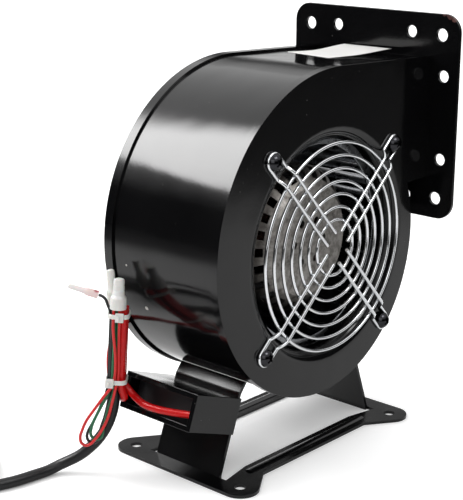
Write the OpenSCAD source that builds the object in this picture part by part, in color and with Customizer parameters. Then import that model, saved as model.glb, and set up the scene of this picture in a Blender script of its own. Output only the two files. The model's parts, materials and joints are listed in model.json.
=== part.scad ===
// Centrifugal fan: a sheet-steel scroll on a stamped base, driven by an external-rotor motor.
// The origin is the centre of the base's four holes, on the floor. The shaft lies along Y,
// the inlet faces -Y and the outlet blows along +X.

/* [Scroll] */
// Height of the shaft above the floor
shaft_h = 121; // [115:0.5:140]
// Depth of the housing over its two plates
scroll_depth = 83; // [80:0.5:110]
// Outside radius of the scroll's lower right quarter
scroll_r = 80.6; // [80.2:0.1:88]
// Growth of the scroll's radius from one quarter to the next
scroll_step = 7.2; // [5:0.1:8]
// Thickness of the housing's sheet steel
sheet_t = 1.2; // [0.8:0.1:1.6]
// Clearance between a rim and the wall that it laps
lap_gap = 0.1; // [0.05:0.05:0.3]
// Width of the front plate's folded rim
front_rim_w = 5; // [3:0.5:8]
// Width of the back plate's folded rim
back_rim_w = 6; // [3:0.5:8]
// Height of the duct's floor above the shaft
tongue_h = 24; // [15:0.5:30]
// Fall of the duct's top on its way from the scroll to the outlet flange
top_fall = 3; // [0:0.1:4]
// Distance from the shaft to the outlet flange
outlet_reach = 91; // [88:0.1:120]

/* [Inlet] */
// Radius of the inlet's throat
inlet_r = 58; // [56:0.5:60]
// Radius of the rounded inlet lip
bell_r = 9; // [6:0.5:10]

/* [Outlet flange] */
// Width and height of the square flange
flange_w = 120; // [116:1:140]
// Thickness of the flange
flange_t = 2; // [1.5:0.1:4]
// Radius of the flange's corners
flange_corner_r = 10.5; // [6:0.5:16]
// Pitch of the four corner holes
corner_pitch = 96; // [94:0.5:104]
// Diameter of the corner holes
corner_hole_d = 7.5; // [5:0.1:9]
// Pitch across the holes of the top and bottom rows
row_pitch = 54; // [40:0.5:66]
// Height between the top and bottom rows
row_reach = 97.2; // [94:0.1:104]
// Pitch up the holes of the side columns
side_pitch = 48.8; // [36:0.1:60]
// Diameter of the row and column holes
inner_hole_d = 7; // [4:0.1:8]

/* [Finger guard] */
// Pitch of the guard's four screws
guard_pitch = 104.8; // [102:0.1:108]
// Turn of the guard about the shaft, clockwise from the front
guard_turn = 3; // [-5:0.5:5]
// Number of rings
ring_count = 7; // [5:1:8]
// Radius of the smallest ring
ring_first_r = 15.6; // [12:0.1:18]
// Radius of the largest ring
ring_last_r = 58.1; // [54:0.1:60]
// Diameter of the ring wire
ring_wire_d = 1.8; // [1.2:0.1:2.4]
// Diameter of the arm wire
arm_wire_d = 2; // [1.5:0.1:2.6]
// Distance between the two wires of an arm
arm_gap = 9; // [8:0.5:11]
// Distance of the arms' inner ends from the shaft
arm_end_r = 8; // [6:0.5:10]
// Straight length of an arm's wires along the plate, before the bow
arm_foot = 8; // [6:0.5:10]
// Distance of the rings' centres in front of the plate
guard_stand = 3; // [2.2:0.1:6]
// Depth of the weld between rings and arms
guard_weld = 0.1; // [0.05:0.05:0.2]

/* [Guard screws] */
// Diameter of the screw heads
screw_head_d = 9.5; // [8.5:0.5:11]
// Height of the screw heads
screw_head_h = 3.2; // [2.4:0.1:4]
// Diameter of the screws
screw_d = 4.8; // [4:0.1:5.6]
// Length of the screws under the head
screw_l = 11; // [9:0.5:16]
// Width of the nuts across corners
nut_d = 8.1; // [7.5:0.1:9]
// Thickness of the nuts
nut_h = 4; // [3:0.5:5]
// Radial clearance of a screw in its hole
screw_gap = 0.3; // [0.1:0.05:0.6]

/* [Impeller] */
// Distance of the impeller behind the housing's front face
wheel_y = 12; // [11:0.5:14]
// Depth of the impeller
wheel_depth = 55; // [45:0.5:58]
// Outside radius of the impeller
wheel_r = 65; // [63:0.5:67]
// Inside radius of the blade row
blade_in_r = 55; // [53:0.5:56]
// Number of blades
blade_count = 40; // [30:1:48]
// Thickness of a blade
blade_t = 0.8; // [0.5:0.1:1.2]
// Distance of a blade's lowest point past its inner edge
blade_dip = 3; // [2:0.5:4]
// Gap between a blade's outer edge and the impeller's rim
blade_inset = 0.5; // [0.3:0.1:1]
// Radius of a blade's curve
blade_curve_r = 8; // [7.5:0.1:9]
// Thickness of the impeller's ring and disc
wheel_t = 1.2; // [0.8:0.1:2]
// Number of rivets that hold the disc to the rotor
rivet_count = 6; // [3:1:8]
// Diameter of the rivets
rivet_d = 4; // [3:0.5:5]

/* [Rotor] */
// Distance of the rotor's face behind the impeller's front
rotor_set = 3; // [1:0.5:6]
// Outside radius of the rotor cup
cup_r = 42; // [40:0.5:45]
// Thickness of the rotor cup
cup_t = 1.4; // [1:0.1:2]
// Radius of the cup's flat face
cup_face_r = 31; // [27:0.5:34]
// Radial width of the cup's steep outer shoulder
shoulder_w = 3.5; // [2.5:0.5:5]
// Depth of the slope from the cup's face to its shoulder
slope_deep = 6; // [4:0.5:8]
// Depth of the steep outer shoulder
shoulder_deep = 5; // [3:0.5:6]
// Length of the hub, from the cup's face to the front bearing
hub_l = 13; // [11:0.5:16]
// Radius of the cup's rear flange
cup_flange_r = 50; // [48:0.5:52]
// Number of windows round the cup's shoulder
window_count = 24; // [16:1:28]
// Width of a window
window_w = 5; // [3:0.5:6]
// Number of holes in the cup's face
face_hole_count = 6; // [4:1:8]
// Pitch radius of the holes in the cup's face
face_hole_r = 12.5; // [11:0.5:20]
// Diameter of the holes in the cup's face
face_hole_d = 4.5; // [3:0.5:6]
// Radial thickness of the rotor's iron ring
rotor_core_t = 7; // [5:0.5:9]

/* [Shaft and bearings] */
// Diameter of the shaft
shaft_d = 8; // [7:0.5:8.5]
// Outside diameter of a ball bearing
bearing_d = 22; // [21:0.5:24]
// Width of a ball bearing
bearing_w = 7; // [6:0.5:8]
// Radial thickness of a bearing ring at the shaft
inner_ring_t = 2.2; // [1.8:0.1:2.6]
// Radial thickness of a bearing's outer ring
outer_ring_t = 1.8; // [1.4:0.1:2.2]
// Number of balls in a bearing
ball_count = 9; // [6:1:10]
// Radial clearance of the balls
ball_gap = 0.05; // [0.01:0.01:0.1]
// Thickness of the circlip
circlip_t = 1; // [0.8:0.1:1.4]
// Length of the shaft past the circlip
shaft_past = 2.5; // [1:0.5:5]
// Depth of the circlip's groove
groove_d = 0.5; // [0.3:0.1:0.8]

/* [Stator] */
// Air gap between stator and rotor
air_gap = 0.4; // [0.3:0.05:0.8]
// Length of the stator's iron core
core_l = 24; // [18:0.5:28]
// Number of stator slots
slot_count = 12; // [8:1:16]
// Width of a stator slot
slot_w = 6; // [4:0.5:6.5]
// Width of a slot's mouth
slot_mouth = 2.4; // [1.6:0.1:3]
// Iron between the slots and the bearing tube
slot_root = 5; // [4:0.5:6]
// Iron between the slots and the air gap
slot_tip = 2; // [1.5:0.1:3]
// Overlap of the core with the front bearing, along the shaft
core_lap = 1; // [0:0.5:3]
// Clearance of the copper in its slot
slot_gap = 0.3; // [0.1:0.05:0.6]
// Reach of the windings past the core
winding_reach = 5.5; // [3:0.5:6]
// Wall of the bearing tube
tube_t = 3; // [2.5:0.1:4]
// Radius of the bearing tube's foot
foot_r = 40; // [36:0.5:44]
// Thickness of the bearing tube's foot
foot_t = 3; // [2:0.5:5]
// Pitch radius of the motor's screws
motor_screw_r = 32; // [24:0.5:34]
// Diameter of the motor's screws
motor_screw_d = 4; // [3:0.5:5]

/* [Base] */
// Pitch of the base's holes along the outlet
base_hole_x = 136; // [132:1:150]
// Pitch of the base's holes along the shaft
base_hole_y = 80; // [76:1:90]
// Diameter of the base's holes
base_hole_d = 6.5; // [5:0.1:8]
// Thickness of the base's sheet
base_t = 1.8; // [1.5:0.1:2.5]
// Radius of the ears round the holes
ear_r = 10.5; // [9:0.5:13]
// Distance of the ears' centres past the holes
ear_shift = 0; // [0:0.5:5]
// Distance from the base's centre to where an ear's slant begins
slant_x = 46; // [40:0.5:52]
// Distance from the base's centre to a rail's inner edge
rail_in = 25; // [24.5:0.5:28]
// Width of a rail
rail_w = 12.5; // [10:0.5:14]
// Width of the bead along a rail
bead_w = 5; // [3:0.5:7]
// Height of the bead above the rail
bead_h = 1; // [0.5:0.1:2]
// Length of the bead
bead_l = 102; // [80:1:106]
// Width of a leg
leg_w = 48; // [40:0.5:49]
// Distance from the base's centre to a leg's outer foot
leg_x = 67.3; // [66:0.1:69]
// Lean of a leg towards the scroll
leg_lean = 20; // [17:0.5:22]
// Height of a leg's fold above the floor
knee_h = 46; // [42:0.5:50]
// Lean of the lip above the fold
lip_lean = 40; // [36:0.5:46]
// Clearance between a leg's lip and the scroll
lip_gap = 0.1; // [0.05:0.05:0.3]

/* [Capacitor] */
// Depth of the box, outwards from the leg
box_deep = 36.5; // [34:0.5:40]
// Height of the box
box_tall = 20.3; // [18:0.1:24]
// Length of the box along the shaft
box_long = 53; // [50:0.5:56]
// Distance of the box's front end from the base's middle
box_front = 26.7; // [24:0.1:28]
// Height of the box's lower edge up the leg
box_up = 24.5; // [18:0.5:26]
// Thickness of the box's sheet
box_t = 1; // [0.8:0.1:1.5]
// Width of the lips that turn in at the box's mouth
box_lip = 3; // [2:0.5:4]
// Space between the capacitor and the mouth
box_recess = 6; // [5.5:0.5:8]
// Clearance between the capacitor and the box's walls
capacitor_gap = 0.25; // [0.1:0.05:0.5]
// Space for leads between the capacitor and the box's ends
capacitor_end = 3; // [2:0.5:5]

/* [Label] */
// Length of the blank label along the outlet
label_l = 45; // [30:1:48]
// Width of the blank label
label_w = 36; // [20:1:50]
// Thickness of the label
label_t = 0.3; // [0.2:0.1:0.5]
// Distance from the label to the outlet flange
label_inset = 2.5; // [2:0.5:10]
// How far the label was stuck on askew, in degrees
label_turn = -10; // [-15:0.5:15]
// How far the label's middle lies behind the duct's middle
label_back = 6; // [0:0.5:8]

/* [Leads] */
// Diameter of the mains cable
cable_d = 6; // [5:0.1:6.2]
// Diameter of the motor leads' sleeve
motor_sleeve_d = 4.3; // [3.5:0.1:4.4]
// Diameter of the capacitor leads' sleeve
capacitor_sleeve_d = 4; // [3:0.1:4.2]
// Diameter of a single wire
wire_d = 1.6; // [1:0.1:1.7]
// Outside radius of the grommet in the back plate
grommet_r = 7.5; // [7:0.5:9]
// Thickness of the grommet's flanges
grommet_t = 1.5; // [1:0.1:2.5]
// Radial clearance of the sleeve in the grommet
grommet_gap = 0.05; // [0.05:0.05:0.3]
// Height of a wire tie's band
tie_h = 2.5; // [2:0.5:4]
// Thickness of a wire tie's band
tie_t = 0.8; // [0.6:0.1:1.2]
// Diameter of the large splice cap
cap_d = 8.8; // [8:0.1:9]
// Length of the large splice cap
cap_l = 16.8; // [14:0.1:20]

/* [Cable coil and plug] */
// Mean radius of the coil
coil_r = 34; // [30:0.5:38]
// Turns side by side in the coil
coil_columns = 2; // [1:1:3]
// Layers of turns in the coil
coil_layers = 2; // [1:1:3]
// Width of the tie round the coil
coil_tie_w = 6; // [4:0.5:10]
// Clearance between the coil and the sides of its tie
coil_tie_gap = 0.3; // [0.2:0.05:0.6]
// Width of the plug's body
plug_w = 34; // [30:1:40]
// Height of the plug's body
plug_h = 26; // [24:1:30]
// Length of the plug's body
plug_l = 28; // [24:1:40]
// Length of the plug's strain relief
relief_l = 20; // [12:1:30]
// Length of the plug's pins
pin_l = 18; // [15:1:22]

/* [Hidden] */

$fn = 96;
paint = "#2b2c2f";
steel = "#c9ccd0";
fastener = "#26272a";
black_rubber = "#1c1c1e";
tie_white = "#e9e7e2";
past = 1;

// The scroll's four quarters are centred on the corners of a small square round the shaft.
half_step = scroll_step / 2;
shaft_x = half_step;
front_y = -scroll_depth / 2;
back_y = scroll_depth / 2;
wall_inset = sheet_t + lap_gap;
air_inset = wall_inset + sheet_t;
scroll_top = half_step + scroll_r + 2 * scroll_step;
outlet_top = scroll_top - top_fall;
duct_mid = (tongue_h + outlet_top) / 2;
flange_x = shaft_x + outlet_reach;
flange_z = shaft_h + duct_mid;

// The side columns of holes stand midway between the outlet's mouth and the flange's edge.
mouth_w = scroll_depth - 2 * sheet_t;
mouth_h = outlet_top - tongue_h - 2 * air_inset;
side_reach = (mouth_w + flange_w) / 2;
label_reach = (label_l * cos(label_turn) + label_w * abs(sin(label_turn))) / 2;

// The duct's top leaves the scroll's last quarter along its tangent, at this turn about that quarter.
// It lies a hair lower, and the quarter goes on under it, so that the two cross cleanly.
last_r = scroll_r + 2 * scroll_step;
duct_run = [outlet_reach - half_step, outlet_top - half_step];
top_turn = atan2(duct_run.y, duct_run.x) + acos(last_r / norm(duct_run));
duct_sink = 0.01;
duct_lap = 10;
label_x = flange_x - label_inset - label_reach;
label_glue = 0.02;

function duct_top(inset, x) =
    half_step + (last_r - inset - (x - half_step) * cos(top_turn)) / sin(top_turn) - duct_sink;

// The guard's arms lie in front of its rings and step down to the plate at their ears.
ring_step = (ring_last_r - ring_first_r) / (ring_count - 1);
arm_front = -guard_stand - ring_wire_d / 2 - arm_wire_d / 2 + guard_weld;
arm_seat = -arm_wire_d / 2;
ear_reach = guard_pitch / 2 * sqrt(2);
jog_in_r = ring_last_r + ring_wire_d / 2 + arm_wire_d / 2;
jog_out_r = ear_reach - arm_foot;
nut_gap = 0.05;
nut_turn = 30;
dome_r = (screw_head_d * screw_head_d / 4 + screw_head_h * screw_head_h) / (2 * screw_head_h);

// Distances behind the housing's front face, along the shaft.
wheel_back = wheel_y + wheel_depth;
disc_front = wheel_back - wheel_t;
rotor_face = wheel_y + rotor_set;
shoulder_r = cup_r - shoulder_w;
shoulder_y = rotor_face + slope_deep;
cup_side_y = shoulder_y + shoulder_deep;
cup_back = disc_front;
shaft_front = rotor_face + cup_t;
hub_back = rotor_face + hub_l;
front_bearing_y = hub_back;
core_y = hub_back + bearing_w - core_lap;
rear_bearing_y = core_y + core_l;
circlip_y = rear_bearing_y + bearing_w;
shaft_back = circlip_y + circlip_t + shaft_past;
foot_y = scroll_depth - sheet_t - foot_t;

rotor_core_r = cup_r - cup_t;
stator_r = rotor_core_r - rotor_core_t - air_gap;
tube_r = bearing_d / 2 + tube_t;
slot_in_r = tube_r + slot_root;
slot_out_r = stator_r - slot_tip;
hub_r = shaft_d / 2 + inner_ring_t;
ball_track_in = shaft_d / 2 + inner_ring_t;
ball_track_out = bearing_d / 2 - outer_ring_t;
ball_r = (ball_track_out - ball_track_in) / 2 - ball_gap;
ball_pitch_r = (ball_track_out + ball_track_in) / 2;
rivet_r = (cup_r + cup_flange_r) / 2;

rail_out = rail_in + rail_w;
ear_x = base_hole_x / 2 + ear_shift;
base_end = ear_x + ear_r;
knee_x = leg_x - (knee_h - base_t) * tan(leg_lean);
lip_reach = 20;

// The wires hang in a bundle beside the scroll. Places in the bundle are given across it,
// along it to the rear, and as a share of the way from the lower tie to the upper one.
bundle_low = [-100, 22, 56.4];
bundle_top = [-97.1, 22, 92.6];
bundle_turn = -48;
bundle_tilt = atan2(bundle_top.x - bundle_low.x, bundle_top.z - bundle_low.z);
across = [cos(bundle_turn), sin(bundle_turn), 0];
rearward = [-sin(bundle_turn), cos(bundle_turn), 0];
caps_at = 1.1;
bundle_sides = [-4.1, 6.1];
bundle_ends = [-6.8, 6.4];
bundle_corner = 3.2;
leads_at = caps_at - 0.015;

function in_bundle(a, b, share) = bundle_low + share * (bundle_top - bundle_low) + a * across + b * rearward;
function below_tie(a, b, drop) = bundle_low + a * across + b * rearward - [0, 0, drop];
function above_tie(a, b, rise) = bundle_top + a * across + b * rearward + [0, 0, rise];

grommet_at = [-42, back_y, 86];

motor_sleeve_route = [
    in_bundle(3.5, -1.6, leads_at), in_bundle(3.5, -1.6, 0.5), in_bundle(3.5, -1.6, 0),
    below_tie(3.7, -1.3, 5.5), below_tie(4.7, 1, 10.5), below_tie(3.5, 4.7, 12.8),
    below_tie(1.2, 7.8, 12.8), below_tie(-2, 11, 12.5), [-88, 38, 48], [-82, 45, 58], [-75, 48, 70],
    [-64, 49, 80], [-52, 49, 86], [-44, 47, 86.5], [-42, back_y, 86], [-42, back_y - 4, 86]
];
capacitor_sleeve_route = [
    in_bundle(3.95, 3.7, leads_at), in_bundle(3.95, 3.7, 0.5), in_bundle(3.95, 3.7, 0.1),
    in_bundle(3.95, 3.7, -0.07), below_tie(6.6, 3.1, 6.6), below_tie(10.4, 0.6, 10.2), [-94, 7, 44.6],
    [-93.4, 0, 43.8], [-91.4, -8, 43.6], [-89, -15, 43.6], [-87, -21, 43.8], [-86.7, -25.5, 43.8]
];
red_route = [
    in_bundle(-0.9, -5.9, caps_at), in_bundle(-0.9, -5.9, 0.8), in_bundle(0.3, -5.75, 0.4),
    in_bundle(0.4, -5.75, 0.1), below_tie(-1.4, -5.7, 2.5), below_tie(-5.2, -5.7, 7.5),
    below_tie(-10.2, -5.7, 14.5), below_tie(-15.4, -5.7, 21.8), below_tie(-18.3, -5.7, 28.5),
    below_tie(-18.2, -5.7, 33.8), below_tie(-15.4, -5.7, 36.6), below_tie(-12, -5.7, 34.8),
    below_tie(-7.6, -5.7, 28.6), below_tie(-3.8, -5.7, 20.6), below_tie(-1.2, -5.7, 11.5),
    below_tie(0.6, -5.7, 4.2), in_bundle(2.1, -5.6, 0.1), in_bundle(2.1, -5.6, 0.4),
    in_bundle(0.8, -5.45, 0.8), in_bundle(0.8, -5.45, caps_at)
];
green_route = [
    in_bundle(-0.9, -4.1, caps_at), in_bundle(-0.9, -4.1, 0.5), in_bundle(-0.9, -4.1, 0),
    below_tie(-3.4, -4, 7), below_tie(-7.6, -4, 15), below_tie(-11.2, -4, 23), below_tie(-12.8, -4, 28.5),
    below_tie(-11.6, -4, 32.4), below_tie(-8.8, -4, 30.8), below_tie(-6.2, -4, 23.5),
    below_tie(-3.4, -4, 15), below_tie(-0.8, -4, 6.5), in_bundle(0.8, -3.7, 0), in_bundle(0.8, -3.7, 0.5),
    in_bundle(0.8, -3.7, caps_at)
];
black_route = [
    above_tie(-9.7, 0, 10.37), above_tie(-7.9, 0, 9.8), above_tie(-6.1, 0, 8), above_tie(-5, -0.4, 5.2),
    above_tie(-3.9, -1.3, 2.7), in_bundle(-2.8, -2, 1), in_bundle(-2.6, -2, 0.5), in_bundle(-2.6, -2, 0),
    below_tie(-4.2, -2.3, 7), below_tie(-8, -2.3, 15.5), below_tie(-12, -2.3, 24),
    below_tie(-14.8, -2.3, 31), below_tie(-14.6, -2.3, 35.8), below_tie(-11.6, -2.3, 35.6),
    below_tie(-8.6, -2.3, 29), below_tie(-5.4, -2.3, 20.5), below_tie(-2.6, -2.3, 11),
    below_tie(-1.2, -2.4, 4.5), in_bundle(-0.9, -2.4, 0), in_bundle(-0.9, -2.4, 0.5),
    in_bundle(-0.9, -2.4, caps_at)
];
cable_z = cable_d / 2;
coil_at = [-174, 100.5, 0];
coil_entry = 255;
coil_exit = 225;
coil_half = coil_columns * cable_d / 2;
coil_high = coil_layers * cable_d;
turn_r = coil_r + coil_half - cable_d / 2;
tail_low = coil_high - 1;
plug_turn = 10;
plug_rest = 0.1;
plug_z = coil_high + plug_rest + plug_h / 2;
relief_gap = 0.3;

// A point over the coil: shares of its outer turn's radius, and of the rise from the coil to the plug.
function over_coil(a, b, share) = coil_at + [a * turn_r, b * turn_r, tail_low + share * (plug_z - tail_low)];

relief_tip = over_coil(-0.311, 0.542, 1);
plug_at = relief_tip + (relief_l + relief_gap) * [cos(plug_turn), sin(plug_turn), 0];
cable_route = [
    in_bundle(-0.75, 1.6, 1.05), in_bundle(-0.75, 1.6, 0.5), in_bundle(-0.75, 1.6, 0),
    below_tie(-0.6, 1.6, 8), below_tie(-1.3, 1.6, 17), below_tie(-4.3, 1.6, 26.5),
    below_tie(-9.3, 1.6, 35), below_tie(-15.5, 1.6, 41.6), below_tie(-22, 2, 46.6), [-119.5, 46.4, 5.2],
    [-126.5, 49.2, cable_z], [-135, 50.3, cable_z], [-146, 52, cable_z], [-157, 55.5, cable_z],
    [-169.5, 60.4, cable_z], coil_at + [turn_r * cos(coil_entry), turn_r * sin(coil_entry), cable_z]
];
tail_route = [
    over_coil(cos(coil_exit), sin(coil_exit), 0), over_coil(-0.94, -0.342, 0.28),
    over_coil(-0.968, -0.008, 0.53), over_coil(-0.827, 0.297, 0.8), over_coil(-0.603, 0.468, 0.97),
    over_coil(-0.443, 0.519, 1), relief_tip
];

// Route points joined by a smooth curve, with the given number of steps between them.
function curve_at(a, b, c, d, t) =
    0.5 * (2 * b + (c - a) * t + (2 * a - 5 * b + 4 * c - d) * t * t + (3 * b - a - 3 * c + d) * t * t * t);
function smooth(p, steps) = let (last = len(p) - 1) concat(
    [for (i = [0:last - 1], s = [0:steps - 1])
        curve_at(p[max(i - 1, 0)], p[i], p[i + 1], p[min(i + 2, last)], s / steps)],
    [p[last]]
);
function unit(v) = v / norm(v);
function square_to(v, t) = unit(v - (v * t) * t);
function headings(p) = let (last = len(p) - 1)
    [for (i = [0:last]) unit(p[min(i + 1, last)] - p[max(i - 1, 0)])];
function carried(t, start) = [
    for (i = 0, v = square_to(start, t[0]); i < len(t); i = i + 1, v = square_to(v, t[min(i, len(t) - 1)])) v
];

// A round wire swept along points.
module wire(points, d, sides) {
    ways = headings(points);
    sides_to = carried(ways, [0.31, 0.83, 0.46]);
    count = len(points);
    rings = [for (i = [0:count - 1], k = [0:sides - 1]) points[i]
        + d / 2 * (cos(360 * k / sides) * sides_to[i] + sin(360 * k / sides) * cross(ways[i], sides_to[i]))];
    skin = [for (i = [0:count - 2], k = [0:sides - 1]) let (n = (k + 1) % sides)
        [i * sides + k, (i + 1) * sides + k, (i + 1) * sides + n, i * sides + n]];
    first_cap = [for (k = [0:sides - 1]) k];
    last_cap = [for (k = [sides - 1:-1:0]) (count - 1) * sides + k];
    polyhedron(rings, concat(skin, [first_cap, last_cap]), convexity = 10);
}

// Places children that lie in XY upright in XZ, drawn about the shaft, from one depth to another.
module upright(from_y, to_y)
    translate([shaft_x, to_y, shaft_h]) rotate([90, 0, 0]) linear_extrude(to_y - from_y) children();

// Places children along the shaft, measured from the housing's front face.
module on_shaft(from_front = 0)
    translate([shaft_x, front_y + from_front, shaft_h]) rotate([-90, 0, 0]) children();

module tube_ring(outer_r, inner_r, h)
    linear_extrude(h) difference() {
        circle(outer_r);
        circle(inner_r);
    }

module quarter(x, z, r, right, up)
    translate([x, z]) intersection() {
        circle(r);
        translate([right ? 0 : -r, up ? 0 : -r]) square(r);
    }

// Outline of the scroll, drawn about the shaft and set in from its outside.
module scroll_outline(inset, end) {
    r = scroll_r - inset;
    quarter(half_step, -half_step, r - scroll_step, true, true);
    quarter(-half_step, -half_step, r, true, false);
    quarter(-half_step, half_step, r + scroll_step, false, false);
    square(scroll_step, center = true);
    last = last_r - inset;
    join = half_step + last * cos(top_turn);
    translate([half_step, half_step]) intersection() {
        circle(last);
        translate([-last - past, 0]) square([last + past + join - half_step + duct_lap, last + past]);
    }
    polygon([
        [join, tongue_h + inset], [end, tongue_h + inset],
        [end, duct_top(inset, end)], [join, duct_top(inset, join)]
    ]);
}

module scroll_band(outer_inset, inner_inset)
    difference() {
        scroll_outline(outer_inset, outlet_reach);
        scroll_outline(inner_inset, outlet_reach + past);
    }

module guard_ears()
    for (i = [1:4]) guard_ear(i) children();

module guard_ear(i)
    on_shaft() rotate([0, 0, guard_turn + 45 + 90 * i]) translate([ear_reach, 0, 0]) children();

module front_plate() color(paint) {
    difference() {
        upright(front_y, front_y + sheet_t) scroll_outline(0, outlet_reach);
        on_shaft(-past) cylinder(r = inlet_r + bell_r, h = sheet_t + 2 * past);
        guard_ears() translate([0, 0, -past]) cylinder(d = screw_d + 2 * screw_gap, h = sheet_t + 2 * past);
    }
    upright(front_y + sheet_t, front_y + front_rim_w) scroll_band(0, sheet_t);
    on_shaft() rotate_extrude() translate([inlet_r + bell_r, bell_r]) intersection() {
        difference() {
            circle(bell_r);
            circle(bell_r - sheet_t);
        }
        translate([-bell_r, -bell_r]) square(bell_r);
    }
}

module scroll_wall() color(paint)
    upright(front_y + sheet_t, back_y - sheet_t) scroll_band(wall_inset, air_inset);

module back_plate() color(paint) {
    difference() {
        upright(back_y - sheet_t, back_y) scroll_outline(0, outlet_reach);
        motor_screw_places() translate([0, 0, -past])
            cylinder(d = motor_screw_d + 2 * screw_gap, h = foot_t + sheet_t + 2 * past);
        translate(grommet_at) rotate([90, 0, 0]) cylinder(r = grommet_r - grommet_t, h = 3 * sheet_t, center = true);
    }
    upright(back_y - back_rim_w, back_y - sheet_t) scroll_band(0, sheet_t);
}

module rounded_square(w, r) {
    square([w, w - 2 * r], center = true);
    square([w - 2 * r, w], center = true);
    for (x = [-1, 1], y = [-1, 1]) translate([x, y] * (w / 2 - r)) circle(r);
}

module flange_holes(across_pitch, up_pitch, d)
    for (y = [-1, 1], z = [-1, 1])
        translate([-past, y * across_pitch / 2, z * up_pitch / 2]) rotate([0, 90, 0])
            cylinder(d = d, h = flange_t + 2 * past);

module outlet_flange() color(paint)
    translate([flange_x, 0, flange_z]) difference() {
        rotate([90, 0, 90]) linear_extrude(flange_t) difference() {
            rounded_square(flange_w, flange_corner_r);
            square([mouth_w, mouth_h], center = true);
        }
        flange_holes(corner_pitch, corner_pitch, corner_hole_d);
        flange_holes(row_pitch, row_reach, inner_hole_d);
        flange_holes(side_reach, side_pitch, inner_hole_d);
    }

module guard_rings() color(steel)
    for (i = [0:ring_count - 1])
        on_shaft(-guard_stand) rotate_extrude() translate([ring_first_r + i * ring_step, 0]) circle(d = ring_wire_d);

// One U of wire: out along one side, round the screw and back along the other.
module guard_arm(i) color(steel) {
    side = arm_gap / 2;
    out = [[arm_end_r, -side, arm_front], [jog_in_r - 1, -side, arm_front], [jog_in_r + 1, -side, arm_front],
        [jog_out_r - 1, -side, arm_seat], [jog_out_r + 1, -side, arm_seat]];
    bow = [for (a = [-90:15:90]) [ear_reach + side * cos(a), side * sin(a), arm_seat]];
    home = [for (k = [len(out) - 1:-1:0]) [out[k].x, side, out[k].z]];
    on_shaft() rotate([0, 0, guard_turn + 45 + 90 * i]) wire(concat(out, bow, home), arm_wire_d, 10);
}

module guard_screw(i) color(fastener)
    guard_ear(i) translate([0, 0, -arm_wire_d]) {
        difference() {
            intersection() {
                translate([0, 0, dome_r - screw_head_h]) sphere(dome_r);
                translate([0, 0, -screw_head_h]) cylinder(d = screw_head_d, h = screw_head_h);
            }
            for (a = [0, 90]) rotate([0, 0, a]) translate([0, 0, -screw_head_h])
                cube([screw_head_d / 2, screw_head_d / 8, screw_head_h], center = true);
        }
        cylinder(d = screw_d, h = screw_l);
    }

module guard_nut(i) color(fastener)
    guard_ear(i) translate([0, 0, sheet_t]) difference() {
        rotate([0, 0, nut_turn]) cylinder(d = nut_d, h = nut_h, $fn = 6);
        translate([0, 0, -past]) cylinder(d = screw_d + 2 * nut_gap, h = nut_h + 2 * past);
    }

// One forward-curved blade, as an arc that is cut off at the blade row's two radii.
module blade_section()
    intersection() {
        translate([blade_in_r + blade_dip, blade_curve_r]) difference() {
            circle(blade_curve_r + blade_t / 2);
            circle(blade_curve_r - blade_t / 2);
        }
        difference() {
            circle(wheel_r - blade_inset);
            circle(blade_in_r);
        }
        translate([0, -blade_t]) square([wheel_r, blade_curve_r]);
    }

module impeller_blades() color("#8e9196")
    on_shaft(wheel_y + wheel_t) for (i = [0:blade_count - 1])
        rotate([0, 0, 360 * i / blade_count]) linear_extrude(disc_front - wheel_y - wheel_t) blade_section();

module impeller_front_ring() color("#9a9da2")
    on_shaft(wheel_y) tube_ring(wheel_r, blade_in_r, wheel_t);

module impeller_back_disc() color("#9a9da2")
    on_shaft(disc_front) difference() {
        tube_ring(wheel_r, rotor_core_r, wheel_t);
        rivet_places() translate([0, 0, -past]) cylinder(d = rivet_d, h = wheel_t + 2 * past);
    }

module rivet_places()
    for (i = [0:rivet_count - 1]) rotate([0, 0, 360 * (i + 0.5) / rivet_count]) translate([rivet_r, 0, 0]) children();

module disc_rivets() color(steel)
    on_shaft(cup_back) rivet_places() {
        translate([0, 0, -cup_t]) cylinder(d = rivet_d, h = cup_t + wheel_t);
        translate([0, 0, -cup_t - rivet_d / 4]) cylinder(d = 1.6 * rivet_d, h = rivet_d / 4);
        translate([0, 0, wheel_t]) cylinder(d = 1.6 * rivet_d, h = rivet_d / 4);
    }

module rotor_cup() color("#b4b7bb")
    on_shaft() difference() {
        rotate_extrude() polygon([
            [0, rotor_face], [cup_face_r, rotor_face], [shoulder_r, shoulder_y], [cup_r, cup_side_y],
            [cup_r, cup_back - cup_t], [cup_flange_r, cup_back - cup_t], [cup_flange_r, cup_back],
            [cup_r - cup_t, cup_back], [cup_r - cup_t, cup_side_y + cup_t / 3],
            [shoulder_r - cup_t, shoulder_y + cup_t], [cup_face_r - cup_t / 2, rotor_face + cup_t],
            [hub_r, rotor_face + cup_t], [hub_r, hub_back], [shaft_d / 2, hub_back],
            [shaft_d / 2, shaft_front], [0, shaft_front]
        ]);
        for (i = [0:window_count - 1]) rotate([0, 0, 360 * i / window_count])
            translate([shoulder_r, 0, shoulder_y]) rotate([0, 45, 0]) cube([window_w, window_w, 6 * cup_t], center = true);
        for (i = [0:face_hole_count - 1]) rotate([0, 0, 360 * i / face_hole_count])
            translate([face_hole_r, 0, rotor_face - past]) cylinder(d = face_hole_d, h = cup_t + 2 * past);
        translate([0, 0, cup_back]) rivet_places() translate([0, 0, -cup_t - past])
            cylinder(d = rivet_d, h = cup_t + 2 * past);
    }

module rotor_core() color("#6f7276")
    on_shaft(core_y) tube_ring(rotor_core_r, rotor_core_r - rotor_core_t, core_l);

module shaft() color(steel)
    on_shaft() difference() {
        translate([0, 0, shaft_front]) cylinder(d = shaft_d, h = shaft_back - shaft_front);
        translate([0, 0, circlip_y]) tube_ring(shaft_d, shaft_d / 2 - groove_d, circlip_t);
    }

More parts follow.
